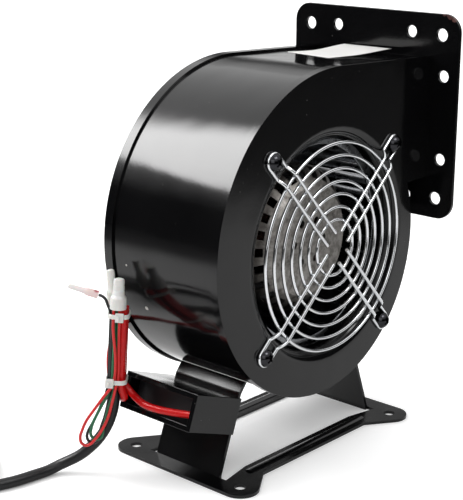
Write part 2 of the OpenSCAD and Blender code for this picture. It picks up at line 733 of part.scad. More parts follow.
module shaft_circlip() color(fastener)
    on_shaft(circlip_y) difference() {
        tube_ring(hub_r, shaft_d / 2 - groove_d, circlip_t);
        translate([0, -shaft_d / 6, -past]) cube([shaft_d, shaft_d / 3, circlip_t + 2 * past]);
    }

module bearing_inner(y) color(steel)
    on_shaft(y) tube_ring(ball_track_in, shaft_d / 2, bearing_w);

module bearing_outer(y) color(steel)
    on_shaft(y) tube_ring(bearing_d / 2, ball_track_out, bearing_w);

module bearing_balls(y) color("#e3e5e8")
    on_shaft(y + bearing_w / 2) for (i = [0:ball_count - 1])
        rotate([0, 0, 360 * i / ball_count]) translate([ball_pitch_r, 0, 0]) sphere(ball_r);

module motor_screw_places()
    on_shaft(foot_y) for (i = [1:4]) rotate([0, 0, 45 + 90 * i]) translate([motor_screw_r, 0, 0]) children();

module bearing_tube() color("#9fa3a7")
    difference() {
        on_shaft() difference() {
            union() {
                translate([0, 0, front_bearing_y]) cylinder(r = tube_r, h = foot_y - front_bearing_y);
                translate([0, 0, foot_y]) cylinder(r = foot_r, h = foot_t);
            }
            translate([0, 0, front_bearing_y - past]) cylinder(d = bearing_d, h = bearing_w + past);
            translate([0, 0, front_bearing_y]) cylinder(r = ball_track_out, h = foot_y - front_bearing_y - past);
            translate([0, 0, rear_bearing_y]) cylinder(d = bearing_d, h = foot_y - rear_bearing_y - past);
        }
        motor_screw_places() translate([0, 0, -past]) cylinder(d = motor_screw_d, h = foot_t + 2 * past);
    }

module slot_places()
    for (i = [0:slot_count - 1]) rotate([0, 0, 360 * i / slot_count]) children();

module stator_core() color("#5d6064")
    on_shaft(core_y) difference() {
        cylinder(r = stator_r, h = core_l);
        translate([0, 0, -past]) cylinder(r = tube_r, h = core_l + 2 * past);
        slot_places() translate([slot_in_r, 0, -past]) {
            translate([0, -slot_w / 2, 0]) cube([slot_out_r - slot_in_r, slot_w, core_l + 2 * past]);
            translate([0, -slot_mouth / 2, 0]) cube([stator_r, slot_mouth, core_l + 2 * past]);
        }
    }

module stator_windings() color("#b06a34")
    on_shaft() {
        slot_places() translate([slot_in_r + slot_gap, -slot_w / 2 + slot_gap, core_y - slot_gap])
            cube([slot_out_r - slot_in_r - 2 * slot_gap, slot_w - 2 * slot_gap, core_l + 2 * slot_gap]);
        for (y = [core_y - winding_reach, core_y + core_l + slot_gap]) translate([0, 0, y])
            tube_ring(slot_out_r - slot_gap, slot_in_r + slot_gap, winding_reach - slot_gap);
    }

module motor_screw(i) color(fastener)
    on_shaft(foot_y) rotate([0, 0, 45 + 90 * i]) translate([motor_screw_r, 0, 0]) {
        cylinder(d = motor_screw_d, h = foot_t + sheet_t);
        translate([0, 0, foot_t + sheet_t]) cylinder(d = 2 * motor_screw_d, h = 0.6 * motor_screw_d);
    }

// Side view of a leg: up from the foot, inwards above the fold, and on into the scroll.
module leg_profile() {
    thick = base_t / cos(leg_lean);
    mid_lean = (leg_lean + lip_lean) / 2;
    mitre = base_t / cos((lip_lean - leg_lean) / 2);
    lip_x = knee_x - lip_reach * sin(lip_lean);
    lip_z = knee_h + lip_reach * cos(lip_lean);
    polygon([
        [leg_x - thick, 0], [leg_x + base_t, 0], [leg_x + base_t, base_t], [leg_x, base_t], [knee_x, knee_h],
        [lip_x, lip_z], [lip_x - base_t * cos(lip_lean), lip_z - base_t * sin(lip_lean)],
        [knee_x - mitre * cos(mid_lean), knee_h - mitre * sin(mid_lean)], [leg_x - thick, base_t]
    ]);
}

module leg(side) {
    quarter_r = scroll_r + (side < 0 ? scroll_step : 0) - wall_inset;
    quarter_z = shaft_h + (side < 0 ? half_step : -half_step);
    difference() {
        scale([side, 1, 1]) translate([0, leg_w / 2, 0]) rotate([90, 0, 0]) linear_extrude(leg_w) leg_profile();
        translate([0, -leg_w, quarter_z]) rotate([-90, 0, 0]) cylinder(r = quarter_r + lip_gap, h = 2 * leg_w);
    }
}

module base_end_outline() {
    for (y = [-1, 1]) hull() {
        translate([ear_x, y * base_hole_y / 2]) circle(ear_r);
        translate([slant_x, y * (rail_in + rail_w / 2) - rail_w / 2]) square([past, rail_w]);
    }
    translate([leg_x, -base_hole_y / 2]) square([base_end - leg_x, base_hole_y]);
}

module bead()
    rotate([90, 0, 90]) linear_extrude(bead_l, center = true) intersection() {
        translate([0, bead_h - bead_w]) circle(bead_w);
        translate([-bead_w / 2, -past]) square([bead_w, bead_h + past]);
    }

module base_frame() color(paint) {
    difference() {
        union() {
            for (side = [-1, 1]) scale([side, 1, 1]) linear_extrude(base_t) base_end_outline();
            for (y = [-rail_out, rail_in]) translate([-slant_x - past, y, 0]) cube([2 * (slant_x + past), rail_w, base_t]);
            for (y = [-1, 1]) translate([0, y * (rail_in + rail_w / 2), base_t]) bead();
        }
        for (x = [-1, 1], y = [-1, 1]) translate([x * base_hole_x / 2, y * base_hole_y / 2, -past])
            cylinder(d = base_hole_d, h = base_t + 2 * past);
    }
    for (side = [-1, 1]) leg(side);
}

// Places children on the left leg's outer face: X up the leg's normal, Y along the shaft, Z up the leg.
module on_left_leg()
    translate([-leg_x, 0, base_t]) rotate([0, leg_lean, 0]) scale([-1, 1, 1]) translate([0, -box_front, box_up]) children();

module capacitor_box() color(paint)
    on_left_leg() difference() {
        cube([box_deep, box_long, box_tall]);
        translate([box_t, box_t, box_t]) cube([box_deep - 2 * box_t, box_long - 2 * box_t, box_tall - 2 * box_t]);
        translate([box_deep / 2, box_lip, box_lip]) cube([box_deep, box_long - 2 * box_lip, box_tall - 2 * box_lip]);
    }

module capacitor() color("#1d1e20")
    on_left_leg() translate([box_t, box_t + capacitor_end, box_t + capacitor_gap])
        cube([
            box_deep - 2 * box_t - box_recess, box_long - 2 * box_t - 2 * capacitor_end,
            box_tall - 2 * box_t - 2 * capacitor_gap
        ]);

module rating_label() color("#f1f0ec")
    translate([label_x, label_back, shaft_h + duct_top(wall_inset, label_x - shaft_x)])
        rotate([0, 90 - top_turn, 0]) rotate([0, 0, label_turn])
            translate([-label_l / 2, -label_w / 2, label_glue]) cube([label_l, label_w, label_t]);

module motor_lead_grommet() color(black_rubber)
    translate(grommet_at) rotate([90, 0, 0]) rotate_extrude() polygon([
        [motor_sleeve_d / 2 + grommet_gap, -grommet_t], [grommet_r, -grommet_t], [grommet_r, 0],
        [grommet_r - grommet_t, 0], [grommet_r - grommet_t, sheet_t], [grommet_r, sheet_t],
        [grommet_r, sheet_t + grommet_t], [motor_sleeve_d / 2 + grommet_gap, sheet_t + grommet_t]
    ]);

module motor_lead_sleeve() color("#c22a25") wire(smooth(motor_sleeve_route, 4), motor_sleeve_d, 10);

module capacitor_lead_sleeve() color("#c22a25") wire(smooth(capacitor_sleeve_route, 4), capacitor_sleeve_d, 10);

module red_wire_loop() color("#c22a25") wire(smooth(red_route, 3), wire_d, 8);

module green_wire_loop() color("#1d6b48") wire(smooth(green_route, 3), wire_d, 8);

module black_wire_loop() color(black_rubber) wire(smooth(black_route, 3), wire_d, 8);

// Stands children on the bundle's cross-section: X across it, Y to the rear, Z along it.
module on_bundle(point)
    translate(point) rotate([0, bundle_tilt, 0]) rotate([0, 0, bundle_turn]) children();

module bundle_outline(grow) {
    in = [bundle_corner, -bundle_corner];
    hull() for (x = bundle_sides + in, y = bundle_ends + in) translate([x, y]) circle(bundle_corner + grow, $fn = 32);
}

module wire_tie(point, head_x) color(tie_white)
    on_bundle(point) {
        head = [4.4, 3, tie_h + 2];
        head_lap = 0.6;
        linear_extrude(tie_h, center = true) difference() {
            bundle_outline(tie_t);
            bundle_outline(0);
        }
        translate([head_x - head.x / 2, bundle_ends[0] - tie_t - head.y + head_lap, -head.z / 2]) cube(head);
    }

// A closed-end crimp cap: wide skirt, narrower barrel and a rounded tip.
module splice_cap(d, l) {
    skirt = l * 0.36;
    neck = d * 0.36;
    cylinder(d = d, h = skirt);
    translate([0, 0, skirt]) cylinder(r1 = d / 2, r2 = neck, h = l * 0.1);
    translate([0, 0, skirt + l * 0.1]) cylinder(r1 = neck, r2 = 0.9 * neck, h = l * 0.54);
}

module splice_cap_front() color(tie_white)
    on_bundle(in_bundle(0.5, -3.2, caps_at)) splice_cap(cap_d, cap_l);

module splice_cap_back() color(tie_white)
    on_bundle(in_bundle(-2.4, 4.6, caps_at)) rotate([0, -8, 0]) splice_cap(0.75 * cap_d, 1.15 * cap_l);

module splice_cap_side() color("#e9c9c6")
    translate(above_tie(-9.8, 0, 10.4)) rotate([0, 0, bundle_turn]) rotate([0, -72, 0])
        splice_cap(0.48 * cap_d, cap_l);

module mains_cable() color(black_rubber) wire(smooth(cable_route, 4), cable_d, 10);

module cable_tail() color(black_rubber) wire(smooth(tail_route, 3), cable_d, 10);

module cable_coil() color(black_rubber)
    translate(coil_at) rotate_extrude() translate([coil_r - coil_half, 0]) square([2 * coil_half, coil_high]);

module coil_tie() color(tie_white) {
    tie_in = coil_half + coil_tie_gap;
    translate(coil_at + [coil_r, 0, 0]) rotate([90, 0, 0]) linear_extrude(coil_tie_w, center = true) difference() {
        translate([-tie_in - tie_t, 0]) square([2 * (tie_in + tie_t), coil_high + tie_t]);
        translate([-tie_in, -past]) square([2 * tie_in, coil_high + past]);
    }
}

module plug_body() color(black_rubber)
    translate(plug_at) rotate([0, 0, plug_turn - 90]) {
        rotate([-90, 0, 0]) intersection() {
            cylinder(d = plug_w, h = plug_l);
            translate([-plug_w / 2, -plug_h / 2, 0]) cube([plug_w, plug_h, plug_l]);
        }
        rotate([90, 0, 0]) cylinder(d1 = plug_h / 2, d2 = 1.3 * cable_d, h = relief_l);
    }

module plug_pins() color("#cfc9b4")
    translate(plug_at) rotate([0, 0, plug_turn - 90]) translate([0, plug_l, 0]) {
        for (x = [-6.35, 6.35]) translate([x - 0.8, 0, -4]) cube([1.6, pin_l, 6.5]);
        translate([0, 0, 7.5]) rotate([-90, 0, 0]) cylinder(d = 4.8, h = pin_l + 3);
    }

base_frame();
capacitor_box();
capacitor();
front_plate();
scroll_wall();
back_plate();
outlet_flange();
guard_rings();
for (i = [1:4]) guard_arm(i);
for (i = [1:4]) guard_screw(i);
for (i = [1:4]) guard_nut(i);
impeller_blades();
impeller_front_ring();
impeller_back_disc();
disc_rivets();
rotor_cup();
rotor_core();
shaft();
shaft_circlip();
bearing_inner(front_bearing_y);  // front_bearing_inner
bearing_outer(front_bearing_y);  // front_bearing_outer
bearing_balls(front_bearing_y);  // front_bearing_balls
bearing_inner(rear_bearing_y);  // rear_bearing_inner
bearing_outer(rear_bearing_y);  // rear_bearing_outer
bearing_balls(rear_bearing_y);  // rear_bearing_balls
bearing_tube();
stator_core();
stator_windings();
for (i = [1:4]) motor_screw(i);
rating_label();
motor_lead_grommet();
motor_lead_sleeve();
capacitor_lead_sleeve();
wire_tie(bundle_top, 1.8);  // upper_wire_tie
wire_tie(bundle_low, -2.2);  // lower_wire_tie
splice_cap_front();
splice_cap_back();
splice_cap_side();
red_wire_loop();
green_wire_loop();
black_wire_loop();
mains_cable();
cable_coil();
coil_tie();
cable_tail();
plug_body();
plug_pins();
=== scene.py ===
# A small centrifugal fan in black stove enamel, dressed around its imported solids. Lengths are metres
# in the solids' own frame: the shaft runs along Y, air enters at -Y and leaves at +X, Z is up.
import json
import math

import bmesh
import bpy
from mathutils import Matrix, Vector


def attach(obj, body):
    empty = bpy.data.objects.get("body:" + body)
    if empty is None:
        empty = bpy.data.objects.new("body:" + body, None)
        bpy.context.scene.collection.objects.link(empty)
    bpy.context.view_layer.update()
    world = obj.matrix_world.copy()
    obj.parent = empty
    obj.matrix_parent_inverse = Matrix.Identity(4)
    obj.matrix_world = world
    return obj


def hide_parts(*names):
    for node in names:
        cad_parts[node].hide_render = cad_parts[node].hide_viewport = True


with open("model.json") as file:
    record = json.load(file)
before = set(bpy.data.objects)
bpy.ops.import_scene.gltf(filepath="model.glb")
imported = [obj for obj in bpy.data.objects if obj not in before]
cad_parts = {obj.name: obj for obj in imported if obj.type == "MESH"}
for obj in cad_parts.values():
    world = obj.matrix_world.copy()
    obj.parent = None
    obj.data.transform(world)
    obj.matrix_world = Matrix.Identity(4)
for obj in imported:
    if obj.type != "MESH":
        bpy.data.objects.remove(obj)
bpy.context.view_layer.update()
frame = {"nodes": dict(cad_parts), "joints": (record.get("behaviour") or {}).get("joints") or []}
scene = bpy.context.scene


# The camera
# A long lens about 0.8 m from the fan, a little above it and to the left of the inlet, at the
# photograph's viewing angle.
camera = bpy.data.objects.new("camera", bpy.data.cameras.new("camera"))
scene.collection.objects.link(camera)
camera.location = (-0.54705, -0.4672, 0.3184)
turn, rise, roll = (math.radians(a) for a in (-47.83, 16.05, 0.17))
aim = Matrix.Rotation(turn, 3, "Z") @ Matrix.Rotation(math.pi / 2 - rise, 3, "X")
camera.rotation_euler = (aim @ Matrix.Rotation(roll, 3, "Z")).to_euler()
camera.data.lens = 94.7
camera.data.sensor_width = 36
camera.data.clip_start = 0.05
scene.camera = camera


# The mains cable
# A round PVC lead that hangs from the wire bundle to the floor, runs off to the left, and is wound
# into a tied coil with its plug on top. The sheath is extruded over the cores in one pass.
def linear(code):
    """An sRGB hex colour as the linear RGBA that a socket takes."""
    parts = [int(code[i:i + 2], 16) / 255 for i in (1, 3, 5)]
    return [c / 12.92 if c <= 0.04045 else ((c + 0.055) / 1.055) ** 2.4 for c in parts] + [1]


def add(material, kind, sockets=None, **settings):
    """Adds a node. A socket is given a plain value, or another node's output to link to."""
    node = material.node_tree.nodes.new(kind)
    for name, value in settings.items():
        setattr(node, name, value)
    for name, value in (sockets or {}).items():
        if isinstance(value, bpy.types.NodeSocket):
            material.node_tree.links.new(value, node.inputs[name])
        else:
            node.inputs[name].default_value = value
    return node


def start_material(name, shades, patch, roughness, relief, depth, **values):
    """A material whose colour and roughness drift between two values over patches of a size, with
    fine relief of a size and depth, drawn coarser than a real grain so that it shows. Returns it with
    its shader, place, colour and bump nodes."""
    material = bpy.data.materials.new(name)
    material.use_nodes = True
    shader = material.node_tree.nodes["Principled BSDF"]
    for socket, value in values.items():
        shader.inputs[socket.replace("_", " ")].default_value = value
    place = add(material, "ShaderNodeTexCoord")
    drift = add(material, "ShaderNodeTexNoise",
                {"Vector": place.outputs["Object"], "Scale": 1 / patch, "Detail": 4})
    colour = add(material, "ShaderNodeMix",
                 {0: drift.outputs["Fac"], 6: linear(shades[0]), 7: linear(shades[1])},
                 data_type="RGBA")
    gloss = add(material, "ShaderNodeMapRange",
                {"Value": drift.outputs["Fac"], "From Min": 0.3, "From Max": 0.7,
                 "To Min": roughness[0], "To Max": roughness[1]})
    fine = add(material, "ShaderNodeTexNoise",
               {"Vector": place.outputs["Object"], "Scale": 1 / relief, "Detail": 2})
    bump = add(material, "ShaderNodeBump", {"Height": fine.outputs["Fac"], "Distance": depth})
    link = material.node_tree.links.new
    link(colour.outputs[2], shader.inputs["Base Color"])
    link(gloss.outputs[0], shader.inputs["Roughness"])
    link(bump.outputs[0], shader.inputs["Normal"])
    return material, shader, place, colour, bump


def wire_along(name, points, diameter, material):
    """A round wire swept smoothly through points."""
    curve = bpy.data.curves.new(name, "CURVE")
    curve.dimensions = "3D"
    curve.bevel_depth = diameter / 2
    curve.bevel_resolution = 5
    curve.resolution_u = 6
    curve.use_fill_caps = True
    spline = curve.splines.new("BEZIER")
    spline.bezier_points.add(len(points) - 1)
    for i, knot in enumerate(spline.bezier_points):
        reach = (points[min(i + 1, len(points) - 1)] - points[max(i - 1, 0)]) / 6
        knot.handle_left_type = "FREE"
        knot.handle_right_type = "FREE"
        knot.co = points[i]
        knot.handle_left = points[i] - reach
        knot.handle_right = points[i] + reach
    curve.materials.append(material)
    piece = bpy.data.objects.new(name, curve)
    scene.collection.objects.link(piece)
    return piece


def halved(route):
    """The route with a point added halfway along each span of its smooth curve."""
    points = []
    for i, (a, b) in enumerate(zip(route, route[1:])):
        around = route[max(i - 1, 0)] + route[min(i + 2, len(route) - 1)]
        points += [a, (9 * (a + b) - around) / 16]
    return points + [route[-1]]


mm = 0.001


def at(x, y, z):
    """A point given in millimetres."""
    return Vector((x, y, z)) * mm


bundle_low = at(-100, 22, 56.4)
bundle_top = at(-97.1, 22, 92.6)
bundle_turn = math.radians(-48)
across = Vector((math.cos(bundle_turn), math.sin(bundle_turn), 0)) * mm
rearward = Vector((-math.sin(bundle_turn), math.cos(bundle_turn), 0)) * mm
upward = Vector((0, 0, mm))


def in_bundle(a, b, share):
    """A point across and behind the bundle's middle, a share of the way from lower to upper tie."""
    return bundle_low.lerp(bundle_top, share) + a * across + b * rearward


def below_tie(a, b, drop):
    """A point under the lower tie."""
    return bundle_low + a * across + b * rearward - drop * upward


def ease(value, low, high):
    """A smooth step from 0 to 1."""
    share = min(max((value - low) / (high - low), 0), 1)
    return share * share * (3 - 2 * share)


cable_hang = [in_bundle(-0.75, 1.6, share) for share in (1.05, 0.5, 0)] + [
    below_tie(a, 1.6, drop) for a, drop in (
        (-0.6, 8), (-1.3, 17), (-4.3, 26.5), (-9.3, 35), (-15.5, 41.6))] + [
    below_tie(-22, 2, 46.6), at(-119.5, 46.4, 5.2), at(-126.5, 49.2, 3), at(-135, 50.3, 3),
    at(-146, 52, 3), at(-157, 55.5, 3), at(-169.5, 60.4, 3)]
# The coil starts with an outer turn on the floor, then an inner one, and goes back over both. Its radii
# and heights are millimetres, and its stages are degrees of winding.
coil_at = at(-174, 100.5, 0)
outer_turn, inner_turn = 37, 31
lower_layer, upper_layer = 3, 9
coil_entry, coil_sweep, coil_steps = 255, 1085, 50
step_in, step_up, step_out, step_span = 300, 600, 900, 60
cable_turns = []
for step in range(coil_steps + 1):
    swept = coil_sweep * step / coil_steps
    inside = ease(swept, step_in, step_in + step_span) - ease(swept, step_out, step_out + step_span)
    on_top = ease(swept, step_up, step_up + step_span)
    turn_r = outer_turn + (inner_turn - outer_turn) * inside
    turn_z = lower_layer + (upper_layer - lower_layer) * on_top
    angle = math.radians(coil_entry - swept)
    cable_turns.append(coil_at + at(turn_r * math.cos(angle), turn_r * math.sin(angle), turn_z))
# The tail climbs from the coil's last turn to the plug that lies on it.
tail_low, plug_high = 11, 25.1
cable_tail = [coil_at + at(outer_turn * a, outer_turn * b, tail_low + share * (plug_high - tail_low))
              for a, b, share in (
                  (-0.707, -0.707, 0), (-0.94, -0.342, 0.28), (-0.968, -0.008, 0.53), (-0.827, 0.297, 0.8),
                  (-0.603, 0.468, 0.97), (-0.443, 0.519, 1), (-0.311, 0.542, 1))]
# Extruded black PVC: nearly black, with a soft long shine that dulls in patches where it was handled.
black_pvc = start_material("black_pvc", ("#08080a", "#131315"), 9 * mm, (0.34, 0.46), 1.2 * mm, 0.01 * mm,
                           IOR=1.4)[0]
cable = wire_along("mains_lead", halved(cable_hang + cable_turns[:1]) + cable_turns[1:-1]
                   + halved(cable_turns[-1:] + cable_tail), 6 * mm, black_pvc)
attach(cable, "housing")
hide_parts("mains_cable", "cable_coil", "cable_tail")


# The plug
# A moulded three-pin plug on the lead's end: a soft PVC body with a ribbed strain relief that tapers
# to the lead, and nickel-plated brass pins pressed into its face.
def round_edges(piece, edge):
    """Rounds a piece's sharp edges by a live bevel, and keeps its flat faces flat."""
    bevel = piece.modifiers.new("rounded_edges", "BEVEL")
    bevel.width = edge
    bevel.segments = 3
    bevel.limit_method = "ANGLE"
    bevel.angle_limit = math.radians(38)
    bevel.use_clamp_overlap = True
    shading = piece.modifiers.new("even_shading", "WEIGHTED_NORMAL")
    shading.keep_sharp = False


def finish_piece(name, work, material, edge=0, place=None):
    """Turns a bmesh into a piece at the origin, with its edges rounded by a bevel if asked."""
    bmesh.ops.remove_doubles(work, verts=work.verts, dist=1e-6)
    bmesh.ops.recalc_face_normals(work, faces=work.faces)
    if place:
        bmesh.ops.transform(work, matrix=place, verts=work.verts)
    mesh = bpy.data.meshes.new(name)
    work.to_mesh(mesh)
    work.free()
    mesh.materials.append(material)
    mesh.shade_smooth()
    piece = bpy.data.objects.new(name, mesh)
    scene.collection.objects.link(piece)
    if edge:
        round_edges(piece, edge)
    return piece


def grow(work, edges, step):
    """Extrudes edges by a step. Returns the new rim's vertices and edges."""
    grown = bmesh.ops.extrude_edge_only(work, edges=edges)["geom"]
    verts = [part for part in grown if isinstance(part, bmesh.types.BMVert)]
    rim = [part for part in grown if isinstance(part, bmesh.types.BMEdge)
           and all(vert in verts for vert in part.verts)]
    bmesh.ops.translate(work, vec=step, verts=verts)
    return verts, rim


def spun(work, profile, steps=48):
    """Spins a profile of (radius, height) points about Z."""
    line = [work.verts.new((r, 0, z)) for r, z in profile]
    edges = [work.edges.new(pair) for pair in zip(line, line[1:])]
    bmesh.ops.spin(work, geom=line + edges, axis=(0, 0, 1), cent=(0, 0, 0), angle=2 * math.pi,
                   steps=steps, use_merge=True)


nodes = frame["nodes"]
merged_within = 0.005 * mm
flat_within = math.radians(0.3)


def soften(node, edge):
    """Merges a node's faces and rounds its cut edges, all by live modifiers."""
    piece = nodes[node]
    weld = piece.modifiers.new("joined_faces", "WELD")
    weld.merge_threshold = merged_within
    flat = piece.modifiers.new("whole_faces", "DECIMATE")
    flat.decimate_type = "DISSOLVE"
    flat.angle_limit = flat_within
    round_edges(piece, edge)


def dress(material, *names):
    """Gives nodes their finish."""
    for name in names:
        nodes[name].material_slots[0].material = material


plug_turn = math.radians(10)
plug_ahead = Vector((math.cos(plug_turn), math.sin(plug_turn), 0))
relief_l, relief_gap = 20, 0.3
plug_place = (Matrix.Translation(cable_tail[-1] + (relief_l + relief_gap) * mm * plug_ahead)
              @ Matrix.Rotation(plug_turn - math.pi / 2, 4, "Z") @ Matrix.Rotation(-math.pi / 2, 4, "X"))
plug_half_w, plug_half_h = 17 * mm, 13 * mm
# Heights along the body from its strain relief, each with its share of the full section.
plug_sections = ((0, 0.5), (1, 0.62), (4, 0.8), (9, 0.94), (15, 1), (25.5, 1), (27.2, 0.97), (28, 0.92))
work = bmesh.new()
ring = bmesh.ops.create_circle(work, segments=64, radius=plug_half_w, cap_ends=False)["verts"]
for vert in ring:
    vert.co.y = min(max(vert.co.y, -plug_half_h), plug_half_h)
first_share = plug_sections[0][1]
bmesh.ops.scale(work, vec=(first_share, first_share, 1), verts=ring)
edges = list(work.edges)
bmesh.ops.edgeloop_fill(work, edges=edges)
for (low, narrow), (high, wide) in zip(plug_sections, plug_sections[1:]):
    ring, edges = grow(work, edges, (0, 0, (high - low) * mm))
    bmesh.ops.scale(work, vec=(wide / narrow, wide / narrow, 1), verts=ring)
bmesh.ops.edgeloop_fill(work, edges=edges)
relief_ribs, rib_pitch = 5, 3.2
relief = [(6.4, 1), (6.4, -2)]
for rib in range(relief_ribs):
    rib_r, neck_r, rib_z = 6.3 - 0.4 * rib, 4.6 - 0.2 * rib, -rib_pitch * rib
    relief += [(rib_r, rib_z - 2), (rib_r, rib_z - 4), (neck_r, rib_z - 4.3), (neck_r, rib_z - 4.9)]
relief += [(4.1, -18.4), (4.1, -relief_l), (3.15, -relief_l)]
spun(work, [(r * mm, z * mm) for r, z in relief])
# Moulded black PVC: a shade greyer and duller than the lead, with a spark-eroded mould's grain.
moulded_pvc = start_material("moulded_pvc", ("#141416", "#202022"), 6 * mm, (0.42, 0.55), 0.8 * mm,
                             0.03 * mm)[0]
plug = finish_piece("plug_moulding", work, moulded_pvc, edge=0.4 * mm, place=plug_place)
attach(plug, "housing")
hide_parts("plug_body")
# Nickel-plated brass: bright and a little warm, rubbed duller in patches.
nickel_plated = start_material("nickel_plated_brass", ("#c9c3b0", "#d9d4c4"), 4 * mm, (0.16, 0.26), 0.8 * mm,
                               0.004 * mm, Metallic=1)[0]
dress(nickel_plated, "plug_pins")
soften("plug_pins", 0.4 * mm)


# The coil's tie
# A plain nylon strap bent over the turns of the coil, which keeps the unseen length together. It is
# moulded flat, and its two ends reach down almost to the floor.
strap_half, strap_top, strap_corner, strap_foot = 6.8, 12.5, 2.5, 0.6
strap_w, strap_t = 6 * mm, 0.9 * mm
outline = [(-strap_half, strap_foot), (-strap_half, strap_top - strap_corner)]
outline += [(-strap_half + strap_corner - strap_corner * math.cos(a),
             strap_top - strap_corner + strap_corner * math.sin(a))
            for a in (math.radians(22.5 * k) for k in range(1, 5))]
outline += [(-x, z) for x, z in reversed(outline)]
work = bmesh.new()
line = [work.verts.new((x * mm, -strap_w / 2, z * mm)) for x, z in outline]
grow(work, [work.edges.new(pair) for pair in zip(line, line[1:])], (0, strap_w, 0))
bmesh.ops.recalc_face_normals(work, faces=work.faces)
bmesh.ops.solidify(work, geom=work.faces, thickness=strap_t)
# Natural nylon: a milky white that light enters a little, smooth from the mould.
white_nylon = start_material("white_nylon", ("#d9d9d5", "#e8e7e4"), 5 * mm, (0.3, 0.42), 0.9 * mm, 0.01 * mm,
                             Subsurface_Weight=0.15, Subsurface_Scale=2 * mm)[0]
coil_middle = coil_at + at((outer_turn + inner_turn) / 2, 0, 0)
coil_strap = finish_piece("coil_strap", work, white_nylon, edge=0.25 * mm,
                          place=Matrix.Translation(coil_middle))
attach(coil_strap, "housing")
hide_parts("coil_tie")


# The splice caps
# Closed-end crimp caps of nylon over the ends of the leads: a wide skirt, a step, and a barrel that
# the crimping tool has pressed. Two are natural white and stand up, a smaller pink one lies aside.
def above_tie(a, b, lift):
    """A point over the upper tie."""
    return bundle_top + a * across + b * rearward + lift * upward


def splice_cap(name, node, diameter, length, place, material):
    """A cap along +Z with its mouth at the origin."""
    work = bmesh.new()
    r, l = diameter / 2, length
    profile = [(0.86 * r, 0.3 * mm), (0.97 * r, 0), (r, 0.02 * l), (r, 0.35 * l), (0.96 * r, 0.38 * l),
               (0.76 * r, 0.45 * l), (0.72 * r, 0.48 * l), (0.71 * r, 0.58 * l), (0.65 * r, 0.6 * l),
               (0.69 * r, 0.63 * l), (0.68 * r, 0.75 * l), (0.62 * r, 0.77 * l), (0.67 * r, 0.8 * l),
               (0.66 * r, 0.92 * l), (0.6 * r, 0.97 * l), (0.36 * r, 0.995 * l), (0, l)]
    spun(work, [(0, 0.1 * l), (0.84 * r, 0.09 * l)] + profile, steps=40)
    crimped_flat = 0.82
    for vert in work.verts:
        if 0.5 * l < vert.co.z < 0.95 * l:
            vert.co.y *= crimped_flat
    piece = finish_piece(name, work, material, edge=0.2 * mm, place=place)
    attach(piece, "housing")
    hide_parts(node)
    return piece


# Pink nylon of the smallest size of cap: paler towards its thin tip, with the crimped core of a red
# wire showing through beside the mouth. Each shade starts at one distance from its spot and is full
# at another.
pink_nylon, shader, place, colour = start_material(
    "pink_nylon", ("#ecccc9", "#f4dedb"), 5 * mm, (0.3, 0.42), 0.9 * mm, 0.01 * mm,
    Subsurface_Weight=0.15, Subsurface_Scale=2 * mm)[:4]
side_mouth = above_tie(-9.8, 0, 10.4)
side_turn = Matrix.Rotation(bundle_turn, 4, "Z") @ Matrix.Rotation(math.radians(-72), 4, "Y")
core_spot = side_mouth + side_turn @ at(1.5, 0, 1.6)
for spot, starts, full, shade in ((side_mouth, 4, 13, "#f4f2f0"), (core_spot, 2, 1, "#9c2433")):
    far = add(pink_nylon, "ShaderNodeVectorMath", {0: place.outputs["Object"], 1: spot}, operation="DISTANCE")
    share = add(pink_nylon, "ShaderNodeMapRange",
                {"Value": far.outputs["Value"], "From Min": starts * mm, "From Max": full * mm})
    colour = add(pink_nylon, "ShaderNodeMix",
                 {0: share.outputs[0], 6: colour.outputs[2], 7: linear(shade)}, data_type="RGBA")
pink_nylon.node_tree.links.new(colour.outputs[2], shader.inputs["Base Color"])
lean = bundle_top - bundle_low
along_bundle = (Matrix.Rotation(math.atan2(lean.x, lean.z), 4, "Y")
                @ Matrix.Rotation(bundle_turn, 4, "Z"))
front_cap = splice_cap("front_splice_cap", "splice_cap_front", 8.8 * mm, 16.8 * mm,
                       Matrix.Translation(in_bundle(0.5, -3.2, 1.1)) @ along_bundle,
                       white_nylon)
back_cap = splice_cap("back_splice_cap", "splice_cap_back", 6.6 * mm, 19.32 * mm,
                      Matrix.Translation(in_bundle(-2.4, 4.6, 1.1)) @ along_bundle
                      @ Matrix.Rotation(math.radians(-8), 4, "Y"), white_nylon)
splice_cap("side_splice_cap", "splice_cap_side", 4.224 * mm, 16.8 * mm,
           Matrix.Translation(side_mouth) @ side_turn, pink_nylon)


# The red sleeves
# Varnished glass-fibre sleeving over the motor's and the capacitor's leads, braided and then dipped.
# One leaves the grommet in the back plate, the other the capacitor's box, and both end in a cap.
motor_route = [in_bundle(3.5, -1.6, share) for share in (1.085, 0.5, 0)] + [
    below_tie(3.7, -1.3, 5.5), below_tie(4.7, 1, 10.5), below_tie(3.5, 4.7, 12.8), below_tie(1.2, 7.8, 12.8),
    below_tie(-2, 11, 12.5), at(-88, 38, 48), at(-82, 45, 58), at(-75, 48, 70), at(-64, 49, 80),
    at(-52, 49, 86), at(-44, 47, 86.5), at(-42, 41.5, 86), at(-42, 37.5, 86)]
capacitor_route = [in_bundle(3.95, 3.7, share) for share in (1.085, 0.5, 0.1, -0.07)] + [
    below_tie(6.6, 3.1, 6.6), below_tie(10.4, 0.6, 10.2), at(-94, 7, 44.6), at(-93.4, 0, 43.8),
    at(-91.4, -8, 43.6), at(-89, -15, 43.6), at(-87, -21, 43.8), at(-86.7, -25.5, 43.8)]
